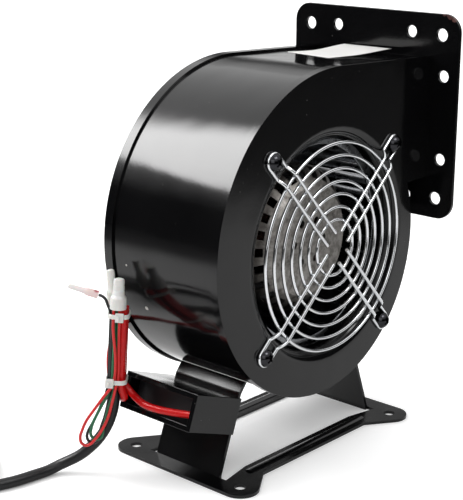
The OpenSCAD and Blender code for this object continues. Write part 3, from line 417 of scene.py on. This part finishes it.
# Red varnished sleeving: a deep glossy red, its shine broken by the braid under the varnish.
red_sleeving = start_material("red_sleeving", ("#b40a0e", "#cc1616"), 3 * mm, (0.2, 0.28), 0.9 * mm,
                              0.05 * mm, IOR=1.36)[0]
motor_sleeve = wire_along("motor_sleeve", halved(motor_route[::-1]), 4.3 * mm, red_sleeving)
capacitor_sleeve = wire_along("capacitor_sleeve", halved(capacitor_route[::-1]), 4 * mm, red_sleeving)
for sleeve, node in ((motor_sleeve, "motor_lead_sleeve"), (capacitor_sleeve, "capacitor_lead_sleeve")):
    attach(sleeve, "housing")
    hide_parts(node)


# The wire loops
# Single PVC-insulated wires, red, green and black, that hang below the lower tie in narrow loops and
# turn back up to the caps.
red_route = [in_bundle(a, b, share) for a, b, share in (
    (-1.6, -5, 1.1), (-1.5, -5, 0.8), (0.2, -5, 0.4), (0.4, -5.2, 0.1))] + [
    below_tie(a, -5.7, drop) for a, drop in (
        (-1.4, 2.5), (-5.2, 7.5), (-10.2, 14.5), (-15.2, 21.8), (-17.9, 28), (-18.8, 30.8), (-18.8, 33.4),
        (-17.9, 35.4), (-15.6, 36.4), (-13.3, 35.4), (-11.3, 33.3), (-7.8, 28.6), (-3.8, 20.6), (-1.2, 11.5),
        (0.6, 4.2))] + [
    in_bundle(a, b, share) for a, b, share in (
        (2.1, -4.4, 0.1), (1.9, -4.2, 0.4), (1.6, -4.1, 0.8), (1.6, -4.1, 1.1))]
green_route = [in_bundle(a, b, share) for a, b, share in (
    (-0.8, -2.6, 1.1), (-0.8, -2.6, 0.8), (-0.9, -3.9, 0.4), (-1.2, -4.1, 0))] + [
    below_tie(a, -4, drop) for a, drop in (
        (-3.4, 7), (-7.6, 15), (-11.4, 22.6), (-12.9, 27), (-13.4, 30.1), (-12.4, 32.4), (-10.1, 33.4),
        (-7.8, 32.4), (-6.8, 30.1), (-6.4, 27), (-5.4, 22.5), (-3.4, 15), (-0.8, 6.5))] + [
    in_bundle(a, b, share) for a, b, share in (
        (0.4, -3.5, 0), (0.6, -2.8, 0.4), (0.9, -2.6, 0.8), (0.9, -2.6, 1.1))]
black_route = [above_tie(a, b, lift) for a, b, lift in (
    (-9.7, 0, 10.37), (-7.9, 0, 9.8), (-6.1, 0, 8), (-5, -0.4, 5.2), (-4, -1, 2.7))] + [
    in_bundle(-3.35, -1.1, share) for share in (1, 0.88, 0.65, 0.3, 0)] + [
    below_tie(a, -2.3, drop) for a, drop in (
        (-4.6, 7), (-8, 15.5), (-12, 24), (-14.2, 28), (-15.3, 30.6), (-15.6, 33.1), (-14.6, 35.4),
        (-12.3, 36.4), (-10, 35.4), (-9, 33.1), (-8.6, 30.3), (-7.6, 26.3), (-5.6, 20.5), (-3.4, 11))] + [
    below_tie(-2.5, -2.4, 4.5)] + [in_bundle(-2.3, -2.2, share) for share in (0, 0.5, 1.1)]
# Coloured PVC: even and clean, with the mild shine of thin extruded insulation.
for name, route, shades, finish, length in (
        ("red", red_route, ("#c4171b", "#dc2625"), "red_sleeve", 0.1655),
        ("green", green_route, ("#0f5a3a", "#1a7048"), "green_wire", 0.154),
        ("black", black_route, ("#0d0d0e", "#19191b"), "black_rubber", 0.169)):
    insulation = start_material(name + "_pvc", shades, 4 * mm, (0.28, 0.38), 0.9 * mm, 0.01 * mm)[0]
    loop = wire_along(name + "_loop", route, 1.6 * mm, insulation)
    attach(loop, "housing")
    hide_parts(name + "_wire_loop")


# The wire ties
# Two nylon cable ties drawn round the bundle: a thin strap, a square ratchet head, and the cut end of
# the strap standing out of it. They are moulded in one piece and pulled tight by hand.
def wire_tie(name, node, place, head_x):
    """A tie round the bundle's section, its head on the front side."""
    tie_w, tie_t, tie_corner = 2.5 * mm, 0.75 * mm, 4 * mm
    half_across, half_deep = 5.9 * mm, 7.4 * mm
    work = bmesh.new()
    base = bmesh.ops.create_grid(work, x_segments=1, y_segments=1, size=1)["verts"]
    bmesh.ops.scale(work, vec=(half_across, half_deep, 1), verts=base)
    bmesh.ops.translate(work, vec=(1 * mm, -0.2 * mm, -tie_w / 2), verts=base)
    bmesh.ops.bevel(work, geom=base, offset=tie_corner, segments=8, profile=0.5, affect="VERTICES",
                    material=-1)
    bmesh.ops.delete(work, geom=list(work.faces), context="FACES_ONLY")
    grow(work, list(work.edges), (0, 0, tie_w))
    bmesh.ops.recalc_face_normals(work, faces=work.faces)
    bmesh.ops.solidify(work, geom=work.faces, thickness=tie_t)
    head = ((4.4, 3, 4.5), (head_x, -8.5, 0))
    cut_end = ((1, 3.6, 2.2), (head_x - 0.4, -10, 0))
    for size, middle in (head, cut_end):
        block = bmesh.ops.create_cube(work, size=1)["verts"]
        bmesh.ops.scale(work, vec=[s * mm for s in size], verts=block)
        bmesh.ops.translate(work, vec=[m * mm for m in middle], verts=block)
    piece = finish_piece(name, work, white_nylon, edge=0.3 * mm, place=place)
    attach(piece, "housing")
    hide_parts(node)


wire_tie("upper_tie", "upper_wire_tie", Matrix.Translation(bundle_top) @ along_bundle, 1.8)
wire_tie("lower_tie", "lower_wire_tie", Matrix.Translation(bundle_low) @ along_bundle, -2.2)


# The sheet-metal housing and base
# Pressed and welded sheet steel: the base with its legs, the capacitor's box, the two side plates, the
# scroll's wall and the outlet flange. All are dipped in black stove enamel and baked.
def bent_copy(node, bends, width, edge, finish):
    """A copy of a node with its bends rolled to a width and its cut edges eased by a live bevel."""
    work = bmesh.new()
    work.from_mesh(nodes[node].data)
    bmesh.ops.remove_doubles(work, verts=work.verts, dist=merged_within)
    bmesh.ops.dissolve_limit(work, angle_limit=flat_within, verts=work.verts, edges=work.edges)
    lines = [line for line in work.edges if len(line.link_faces) == 2 and bends(line)]
    bmesh.ops.bevel(work, geom=lines, offset=width, offset_type="OFFSET", segments=4, profile=0.5,
                    affect="EDGES", clamp_overlap=True, material=-1)
    piece = finish_piece(node + "_pressing", work, finish, edge=edge)
    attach(piece, "housing")
    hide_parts(node)


plate_face = 41.5


def plate_bend(line):
    """Whether an edge is the outer bend of a side plate, where its face turns into its rim."""
    flats = [face for face in line.link_faces if abs(face.normal.y) > 0.99]
    rims = [face for face in line.link_faces if abs(face.normal.y) < 0.05 and face.normal.x < 0.99]
    if not flats or not rims:
        return False
    depths = [vert.co.y for vert in rims[0].verts]
    outside = all(abs(vert.co.y) > (plate_face - 0.1) * mm for vert in line.verts)
    rim_depth = 3 * mm
    return outside and max(depths) - min(depths) > rim_depth


def leg_bend(line):
    """Whether an edge is a leg's slight bend at its knee."""
    run = line.verts[1].co - line.verts[0].co
    turned = math.degrees(line.calc_face_angle())
    leg_depth, slightest, sharpest = 20 * mm, 12, 38
    return abs(run.y) > 0.99 * run.length and run.length > leg_depth and slightest < turned < sharpest


def stove_enamel(name, roughness):
    """Black stove enamel: deep and glossy, with the sheet's faint waves and the fine orange peel of
    thick paint, dust in specks large enough to show, and a few chips down to primer or steel."""
    enamel, shader, place, colour, bump = start_material(
        name, ("#060607", "#0b0b0c"), 30 * mm, roughness, 1.4 * mm, 0.012 * mm, IOR=1.42)
    on_sheet = {"Vector": place.outputs["Object"]}
    wave = add(enamel, "ShaderNodeTexNoise", {**on_sheet, "Scale": 1 / (26 * mm), "Detail": 1})
    waved = add(enamel, "ShaderNodeBump",
                {"Height": wave.outputs["Fac"], "Distance": 0.25 * mm, "Normal": bump.outputs[0]})
    enamel.node_tree.links.new(waved.outputs[0], shader.inputs["Normal"])
    dust = add(enamel, "ShaderNodeTexVoronoi", {**on_sheet, "Scale": 1 / (5 * mm)})
    speck = add(enamel, "ShaderNodeMapRange", {"Value": dust.outputs["Distance"], "From Min": 0.03,
                                               "From Max": 0.08, "To Min": 1, "To Max": 0})
    cloud = add(enamel, "ShaderNodeTexNoise", {**on_sheet, "Scale": 1 / (19 * mm), "Detail": 3})
    settled = add(enamel, "ShaderNodeMapRange", {"Value": cloud.outputs["Fac"], "From Min": 0.55,
                                                 "From Max": 0.7, "To Min": 0, "To Max": 0.7})
    shown = add(enamel, "ShaderNodeMath", {0: speck.outputs[0], 1: settled.outputs[0]}, operation="MULTIPLY")
    colour = add(enamel, "ShaderNodeMix",
                 {0: shown.outputs[0], 6: colour.outputs[2], 7: linear("#7d7c7a")}, data_type="RGBA")
    chips = ((at(-80.3, 16.8, 92.5), 1.5, "#cfccc6"), (at(-86.1, 26, 116.2), 0.8, "#b9b6b0"),
             (at(94.6, -52.6, 240), 3, "#4c3433"), (at(94.6, -56.4, 238.4), 3, "#5a403c"),
             (at(94.6, -48.8, 240.9), 2, "#4c3433"))
    for spot, size, shade in chips:
        far = add(enamel, "ShaderNodeVectorMath", {0: place.outputs["Object"], 1: spot}, operation="DISTANCE")
        rough = add(enamel, "ShaderNodeMath", {0: dust.outputs["Distance"], 1: 0.7 * size * mm},
                    operation="MULTIPLY")
        reach = add(enamel, "ShaderNodeMath", {0: far.outputs["Value"], 1: rough.outputs[0]}, operation="ADD")
        bare = add(enamel, "ShaderNodeMapRange", {"Value": reach.outputs[0], "From Min": 0.9 * size * mm,
                                                  "From Max": size * mm, "To Min": 1, "To Max": 0})
        colour = add(enamel, "ShaderNodeMix",
                     {0: bare.outputs[0], 6: colour.outputs[2], 7: linear(shade)}, data_type="RGBA")
    enamel.node_tree.links.new(colour.outputs[2], shader.inputs["Base Color"])
    return enamel


# The housing mirrors the studio in sharp strips. The base is duller, as paint that has been stood on.
glossy_enamel = stove_enamel("glossy_stove_enamel", (0.09, 0.15))
satin_enamel = stove_enamel("satin_stove_enamel", (0.16, 0.25))
for node, edge in (("capacitor_box", 0.3), ("scroll_wall", 0.25), ("outlet_flange", 0.2)):
    soften(node, edge * mm)
    dress(glossy_enamel, node)
for plate in ("front_plate", "back_plate"):
    bent_copy(plate, plate_bend, 1.3 * mm, 0.2 * mm, glossy_enamel)
bent_copy("base_frame", leg_bend, 0.9 * mm, 0.25 * mm, satin_enamel)


# The capacitor
# A wound film capacitor in a moulded polypropylene case, pushed into the box. Its face is sealed with
# cast resin round the leads.
soften("capacitor", 0.8 * mm)
# Black polypropylene: waxy and a little uneven, with a soft shine.
capacitor_case = start_material("black_polypropylene", ("#0e0e10", "#17171a"), 8 * mm, (0.32, 0.42), 1 * mm,
                                0.02 * mm)[0]
dress(capacitor_case, "capacitor")


# The grommet
# A moulded rubber ring, snapped into the hole of the back plate, that keeps the motor's leads off the
# sheet's cut edge.
soften("motor_lead_grommet", 0.3 * mm)
# Black rubber: greyish and matt, with hardly any shine.
rubber = start_material("black_rubber", ("#131314", "#1d1d1e"), 4 * mm, (0.55, 0.7), 0.8 * mm, 0.03 * mm)[0]
dress(rubber, "motor_lead_grommet")


# The rating label
# A blank sticker of white coated paper on top of the duct. Its end by the flange has come unstuck
# and curls up, and its face is a little soiled.
label_near = (at(42, -8, 0), at(89.5, -17, 0))
label_far = (at(47.8, 27.6, 0), at(92.1, 19.8, 0))
duct_top, duct_start, duct_slope = 218.48, 7.2, 0.035
end_curl, corner_curl, paper_t = 3.2, 1.1, 0.12 * mm
work = bmesh.new()
bmesh.ops.create_grid(work, x_segments=24, y_segments=16, size=1)
for vert in work.verts:
    u, v = vert.co.x / 2 + 0.5, vert.co.y / 2 + 0.5
    vert.co = label_near[0].lerp(label_near[1], u).lerp(label_far[0].lerp(label_far[1], u), v)
    curl = end_curl * ease(u, 0.35, 1.15) + corner_curl * (1 - v) * ease(u, -0.1, 0.6) * (1 - 0.6 * u)
    vert.co.z = (duct_top + curl) * mm - duct_slope * (vert.co.x - duct_start * mm)
bmesh.ops.recalc_face_normals(work, faces=work.faces)
bmesh.ops.solidify(work, geom=work.faces, thickness=paper_t)
# Coated paper: white with faint grey patches and a low even sheen.
paper = start_material("coated_paper", ("#f0efec", "#f8f7f5"), 14 * mm, (0.38, 0.5), 1.5 * mm, 0.02 * mm)[0]
label = finish_piece("blank_label", work, paper)
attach(label, "housing")
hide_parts("rating_label")


# The motor that stands still
# Inside the scroll, behind the rotor: the cast bearing tube with its foot, a stack of iron laminations
# with varnished copper windings, ground bearing rings, and black screws through the back plate.
soften("bearing_tube", 0.4 * mm)
# Cast aluminium: pale grey and grainy from the mould, without a clear reflection.
cast = start_material("cast_aluminium", ("#8b8d90", "#a2a4a7"), 6 * mm, (0.4, 0.55), 1 * mm, 0.05 * mm,
                      Metallic=1)[0]
dress(cast, "bearing_tube")
# Stacked iron sheet: dark grey and dull, a little patchy.
iron = start_material("stacked_iron", ("#4a4a4c", "#5e5e60"), 4 * mm, (0.35, 0.5), 1 * mm, 0.03 * mm,
                      Metallic=1)[0]
dress(iron, "stator_core", "rotor_core")
# Varnished copper: red-brown, made darker than the wire itself as painted shade for the dim inside of the
# motor. It is lumpy like wound wire, and shiny from the varnish.
copper = start_material("varnished_copper", ("#1f120b", "#352117"), 3 * mm, (0.22, 0.34), 0.8 * mm, 0.1 * mm,
                        Metallic=1)[0]
dress(copper, "stator_windings")
# Ground steel: bright and smooth.
ground_steel = start_material("ground_steel", ("#a8aaad", "#c2c4c7"), 5 * mm, (0.14, 0.22), 0.8 * mm,
                              0.004 * mm, Metallic=1)[0]
dress(ground_steel, "shaft", "front_bearing_inner", "front_bearing_outer", "front_bearing_balls",
      "rear_bearing_inner", "rear_bearing_outer", "rear_bearing_balls")
# Blackened steel: nearly black, with a grey glint on its edges.
black_steel = start_material("blackened_steel", ("#1b1b1d", "#2a2a2c"), 3 * mm, (0.28, 0.42), 0.8 * mm,
                             0.02 * mm, Metallic=0.6)[0]
dress(black_steel, "shaft_circlip", *("motor_screw_%d" % i for i in range(1, 5)))


# The rotor and the impeller
# A deep-drawn steel cup, riveted to a galvanised wheel of curved blades between a ring and a disc.
# Rotor and wheel turn together on the shaft.
shaft_at = Vector(frame["joints"][0]["pos_m"])
# Galvanised steel: cool grey, catching light along the blades.
galvanised = start_material("galvanised_steel", ("#85878a", "#a3a5a8"), 7 * mm, (0.22, 0.34), 1.2 * mm,
                            0.02 * mm, Metallic=1)[0]
dress(galvanised, "impeller_blades", "impeller_front_ring", "impeller_back_disc", "disc_rivets")
# Drawn steel: a warm dull grey under patches of brown grime. It is darker round the shoulder of the cup:
# painted shade where the cup sits inside the wheel.
drawn_steel, shader, place, colour = start_material(
    "drawn_steel", ("#9d9a96", "#bab6b1"), 8 * mm, (0.36, 0.55), 1.2 * mm, 0.02 * mm, Metallic=1)[:4]
grime = add(drawn_steel, "ShaderNodeTexNoise",
            {"Vector": place.outputs["Object"], "Scale": 1 / (4 * mm), "Detail": 6, "Roughness": 0.7})
soiled = add(drawn_steel, "ShaderNodeMapRange", {"Value": grime.outputs["Fac"], "From Min": 0.4,
                                                 "From Max": 0.68, "To Min": 0, "To Max": 0.85})
flat = add(drawn_steel, "ShaderNodeVectorMath", {0: place.outputs["Object"], 1: (1, 0, 1)},
           operation="MULTIPLY")
from_shaft = add(drawn_steel, "ShaderNodeVectorMath", {0: flat.outputs[0], 1: shaft_at}, operation="DISTANCE")
# Painted shade: the cup darkens towards its shoulder, where it sits inside the wheel.
shoulder_shade = add(drawn_steel, "ShaderNodeMapRange", {"Value": from_shaft.outputs["Value"], "From Min": 33 * mm,
                                                "From Max": 37 * mm, "To Min": 0, "To Max": 0.8})
for share, shade in ((soiled, "#4f4a46"), (shoulder_shade, "#3f3b38")):
    colour = add(drawn_steel, "ShaderNodeMix",
                 {0: share.outputs[0], 6: colour.outputs[2], 7: linear(shade)}, data_type="RGBA")
drawn_steel.node_tree.links.new(colour.outputs[2], shader.inputs["Base Color"])
dress(drawn_steel, "rotor_cup")
soften("rotor_cup", 0.4 * mm)
soften("impeller_front_ring", 0.3 * mm)


# The finger guard
# Seven rings of bright chromed wire, welded to four hairpin arms whose ends are bent back to the plate,
# each held by a black round-headed screw with its nut behind the plate.
arm_half, guard_front, guard_seat = 4.5, -4.8, -1
ear_reach, guard_turn = 74.1, 3
# Chromed wire: a clean mirror, a little softer in patches.
chrome = start_material("chromed_wire", ("#d8dadc", "#e6e8ea"), 6 * mm, (0.06, 0.12), 1.2 * mm, 0.004 * mm,
                        Metallic=1)[0]
dress(chrome, "guard_rings")
# An arm's two wires lie a half width to each side, run out at the guard's front, and come down to its
# seat on the plate. Its ear goes half round a screw, and the whole guard is turned a little.
run_out = ((8, guard_front), (32, guard_front), (57, guard_front), (60, guard_front + 0.3), (62.6, -3.2),
           (65, guard_seat - 0.2), (67.1, guard_seat), (70.6, guard_seat))
path = [(x, -arm_half, z) for x, z in run_out]
path += [(ear_reach + arm_half * math.cos(a), arm_half * math.sin(a), guard_seat)
         for a in (math.radians(-90 + 18 * k) for k in range(11))]
path += [(x, arm_half, z) for x, z in reversed(run_out)]
for i in range(1, 5):
    turned = math.radians(guard_turn + 45 + 90 * (i - 1))
    points = []
    for x, y, z in path:
        level = x * math.cos(turned) - y * math.sin(turned)
        drop = x * math.sin(turned) + y * math.cos(turned)
        points.append(shaft_at + at(level, z - plate_face, -drop))
    arm = wire_along("guard_hairpin_%d" % i, points, 2 * mm, chrome)
    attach(arm, "housing")
    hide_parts("guard_arm_%d" % i)
# Black zinc plating: dark metal with small sharp glints.
black_zinc = start_material("black_zinc", ("#2a2a2c", "#3b3b3e"), 3 * mm, (0.1, 0.17), 0.8 * mm, 0.01 * mm,
                            Metallic=1)[0]
for i in range(1, 5):
    dress(black_zinc, "guard_screw_%d" % i, "guard_nut_%d" % i)


# The studio
# White paper on the floor, a soft box high at the left rear, a panel in front and a wide one overhead.
# Reflections alone see the black cloth hung round the set, the bright face of the soft box, and a
# glowing sheet high in front with no lamp behind it, which paints highlights.
def smooth_mask(material, value, start, full):
    """A smooth step of a value, from 0 at start to 1 at full."""
    step = add(material, "ShaderNodeMapRange", {"Value": value, "From Min": start, "From Max": full},
               interpolation_type="SMOOTHSTEP")
    return step.outputs[0]


def stage_sheet(name, corners, material, place=None, steps=0):
    """A sheet through its corners, or with steps a ring of cloth swept round Z from two of them."""
    work = bmesh.new()
    verts = [work.verts.new(corner) for corner in corners]
    if steps:
        line = work.edges.new(verts)
        bmesh.ops.spin(work, geom=verts + [line], axis=(0, 0, 1), cent=(0, 0, 0), angle=2 * math.pi,
                       steps=steps, use_merge=True)
    else:
        work.faces.new(verts)
    sheet = bpy.data.objects.new(name, bpy.data.meshes.new(name))
    work.to_mesh(sheet.data)
    work.free()
    sheet.data.materials.append(material)
    scene.collection.objects.link(sheet)
    if place:
        sheet.matrix_world = place
    return sheet


def only_mirrored(sheet):
    """Leaves a sheet of the studio to reflections alone."""
    sheet.visible_camera = False
    sheet.visible_diffuse = False
    sheet.visible_shadow = False
    sheet.visible_transmission = False


def front_of_set(material, place):
    """How far a point of the set lies to the front left of the fan, from 0 behind it to 1."""
    front_left = (-0.761, -0.649, 0)
    along = add(material, "ShaderNodeVectorMath", {0: place.outputs["Object"]}, operation="NORMALIZE")
    facing = add(material, "ShaderNodeVectorMath", {0: along.outputs[0], 1: front_left},
                 operation="DOT_PRODUCT")
    return smooth_mask(material, facing.outputs["Value"], -0.75, -0.35)


def blank_material(name):
    """A material with nothing but its output."""
    material = bpy.data.materials.new(name)
    material.use_nodes = True
    material.node_tree.nodes.remove(material.node_tree.nodes["Principled BSDF"])
    return material, material.node_tree.nodes["Material Output"]


# White paper: nearly white to the camera and in reflections from a glow that rises away from the fan, and
# greyer close under the fan, where ambient occlusion holds the glow back: painted shade. At the front,
# reflections see it darken where the sheet ends.
paper_white, output = blank_material("white_paper")
place = add(paper_white, "ShaderNodeTexCoord")
away = add(paper_white, "ShaderNodeVectorMath", {0: place.outputs["Object"]}, operation="LENGTH")
ray = add(paper_white, "ShaderNodeLightPath")
near_glow, added_glow, shade_reach = 0.62, 0.2, 55 * mm
brighter = smooth_mask(paper_white, away.outputs["Value"], 0.2, 1.6)
lift = add(paper_white, "ShaderNodeMath", {0: brighter, 1: added_glow}, operation="MULTIPLY")
raised = add(paper_white, "ShaderNodeMath", {0: lift.outputs[0], 1: near_glow}, operation="ADD")
# Painted shade: the floor's glow is held back by ambient occlusion close under the fan.
open_share = add(paper_white, "ShaderNodeAmbientOcclusion", {"Distance": shade_reach}, samples=8)
raised = add(paper_white, "ShaderNodeMath", {0: raised.outputs[0], 1: open_share.outputs["AO"]},
             operation="MULTIPLY")
shown = add(paper_white, "ShaderNodeMath",
            {0: ray.outputs["Is Camera Ray"], 1: ray.outputs["Is Glossy Ray"]}, operation="MAXIMUM")
seen = add(paper_white, "ShaderNodeMath", {0: raised.outputs[0], 1: shown.outputs[0]}, operation="MULTIPLY")
sheet = add(paper_white, "ShaderNodeBsdfPrincipled", {
    "Base Color": linear("#e6e6e6"), "Roughness": 0.6, "Emission Color": linear("#ffffff"),
    "Emission Strength": seen.outputs[0]})
dark = add(paper_white, "ShaderNodeBsdfDiffuse", {"Color": linear("#6a6a6a")})
paper_end = smooth_mask(paper_white, away.outputs["Value"], 0.46, 0.78)
ended = add(paper_white, "ShaderNodeMapRange", {"Value": paper_end, "To Min": 0.3, "To Max": 1})
near_side = add(paper_white, "ShaderNodeMath", {0: ended.outputs[0], 1: front_of_set(paper_white, place)},
                operation="MULTIPLY")
mirrored = add(paper_white, "ShaderNodeMath", {0: near_side.outputs[0], 1: ray.outputs["Is Glossy Ray"]},
               operation="MULTIPLY")
floor = add(paper_white, "ShaderNodeMixShader",
            {0: mirrored.outputs[0], 1: sheet.outputs[0], 2: dark.outputs[0]})
paper_white.node_tree.links.new(floor.outputs[0], output.inputs[0])
paper_half = 6
paper_corners = [(x * paper_half, y * paper_half, 0) for x, y in ((-1, -1), (1, -1), (1, 1), (-1, 1))]
stage_sheet("floor", paper_corners, paper_white)

# Black cloth: a dark grey that fades out towards its top edge, and behind the fan at its foot too.
cloth, output = blank_material("black_cloth")
place = add(cloth, "ShaderNodeTexCoord")
height = add(cloth, "ShaderNodeSeparateXYZ", {0: place.outputs["Object"]})
through = add(cloth, "ShaderNodeBsdfTransparent")
black = add(cloth, "ShaderNodeBsdfDiffuse", {"Color": linear("#3c3c3c")})
near_cloth = smooth_mask(cloth, height.outputs["Z"], 0.95, 0.52)
far_top = smooth_mask(cloth, height.outputs["Z"], 1.1, 0.55)
far_foot = smooth_mask(cloth, height.outputs["Z"], 0.2, 0.7)
far_cloth = add(cloth, "ShaderNodeMath", {0: far_top, 1: far_foot}, operation="MULTIPLY")
drawn = add(cloth, "ShaderNodeMix", {0: front_of_set(cloth, place), 2: far_cloth.outputs[0], 3: near_cloth})
hung = add(cloth, "ShaderNodeMixShader", {0: drawn.outputs[0], 1: through.outputs[0], 2: black.outputs[0]})
cloth.node_tree.links.new(hung.outputs[0], output.inputs[0])
cloth_r, cloth_top = 1.6, 1.12
only_mirrored(stage_sheet("cloth_round_set", [(cloth_r, 0, 0), (cloth_r, 0, cloth_top)], cloth, steps=48))


def glow_sheet(name, middle, target, edges, strength):
    """A glowing sheet that reflections alone see: the face of a soft box, or a sheet with no lamp behind it
    that paints highlights. Each edge is an axis of the face, where it starts to glow, and where it glows in
    full."""
    back = (Vector(middle) - Vector(target)).normalized()
    wide = Vector((0, 0, 1)).cross(back).normalized()
    axes = Matrix((wide, back.cross(wide), back)).transposed().to_4x4()
    glow, output = blank_material(name + "_cloth")
    place = add(glow, "ShaderNodeTexCoord")
    spot = add(glow, "ShaderNodeSeparateXYZ", {0: place.outputs["Object"]})
    bright = strength
    for axis, start, full in edges:
        edge = smooth_mask(glow, spot.outputs[axis], start, full)
        bright = add(glow, "ShaderNodeMath", {0: bright, 1: edge}, operation="MULTIPLY").outputs[0]
    lit = add(glow, "ShaderNodeEmission", {"Color": linear("#ffffff"), "Strength": bright})
    through = add(glow, "ShaderNodeBsdfTransparent")
    both = add(glow, "ShaderNodeAddShader", {0: lit.outputs[0], 1: through.outputs[0]})
    glow.node_tree.links.new(both.outputs[0], output.inputs[0])
    left, right, low, high = (edge[1] for edge in edges)
    corners = [(left, low, 0), (right, low, 0), (right, high, 0), (left, high, 0)]
    only_mirrored(stage_sheet(name, corners, glow, place=Matrix.Translation(middle) @ axes))


glow_sheet("side_box_face", (-0.43, 0.7, 0.8), (-0.06, 0, 0.18),
         (("X", -0.26, -0.06), ("X", 0.42, 0.3), ("Y", -0.24, -0.185), ("Y", 0.36, 0.24)), 15)
# A glowing sheet high in front with no lamp behind it: painted highlights and glints on bends, wires and
# screws.
glow_sheet("top_highlight_sheet", (0.1, -0.66, 1), (0, 0, 0.12),
         (("X", -0.34, -0.22), ("X", 0.34, 0.22), ("Y", -0.22, -0.12), ("Y", 0.22, 0.12)), 8)


def lamp(name, place, target, side, size, watts):
    """An area lamp at a place, facing a target, its long side along a direction."""
    light = bpy.data.lights.new(name, "AREA")
    light.shape = "RECTANGLE"
    light.size, light.size_y = size
    light.energy = watts
    thing = bpy.data.objects.new(name, light)
    scene.collection.objects.link(thing)
    back = (Vector(place) - Vector(target)).normalized()
    wide = (Vector(side) - Vector(side).dot(back) * back).normalized()
    turned = Matrix((wide, back.cross(wide), back)).transposed()
    thing.location = place
    thing.rotation_euler = turned.to_euler()
    thing.visible_camera = False
    return thing


# The soft box gives the light from the left rear, and its bright face stands for it in reflections.
soft_box = lamp("soft_box", (-0.49, 0.65, 0.82), (-0.06, 0, 0.18), (-0.884, -0.467, 0), (0.6, 0.5), 7.5)
soft_box.visible_glossy = False
lamp("front_panel", (-1.05, -0.9, 0.6), (0, 0, 0.13), (0.65, -0.76, 0), (0.9, 0.9), 3.5)
lamp("overhead_panel", (0.1, 0.6, 1.25), (0.1, 0.55, 0), (1, 0, 0), (2.4, 1.8), 6)
# The room is white to the camera and to what mirrors it, and lights the fan at half that.
world = bpy.data.worlds.new("studio_room")
scene.world = world
world.use_nodes = True
sky = world.node_tree.nodes["Background"]
ray = add(world, "ShaderNodeLightPath")
seen = add(world, "ShaderNodeMath",
           {0: ray.outputs["Is Camera Ray"], 1: ray.outputs["Is Glossy Ray"]}, operation="MAXIMUM")
seen = add(world, "ShaderNodeMath",
           {0: seen.outputs[0], 1: ray.outputs["Is Transmission Ray"]}, operation="MAXIMUM")
room_light, white_room = 0.5, 1
level = add(world, "ShaderNodeMapRange",
            {"Value": seen.outputs[0], "To Min": room_light, "To Max": white_room})
sky.inputs["Color"].default_value = linear("#ffffff")
world.node_tree.links.new(level.outputs[0], sky.inputs["Strength"])
scene.view_settings.view_transform = "Standard"
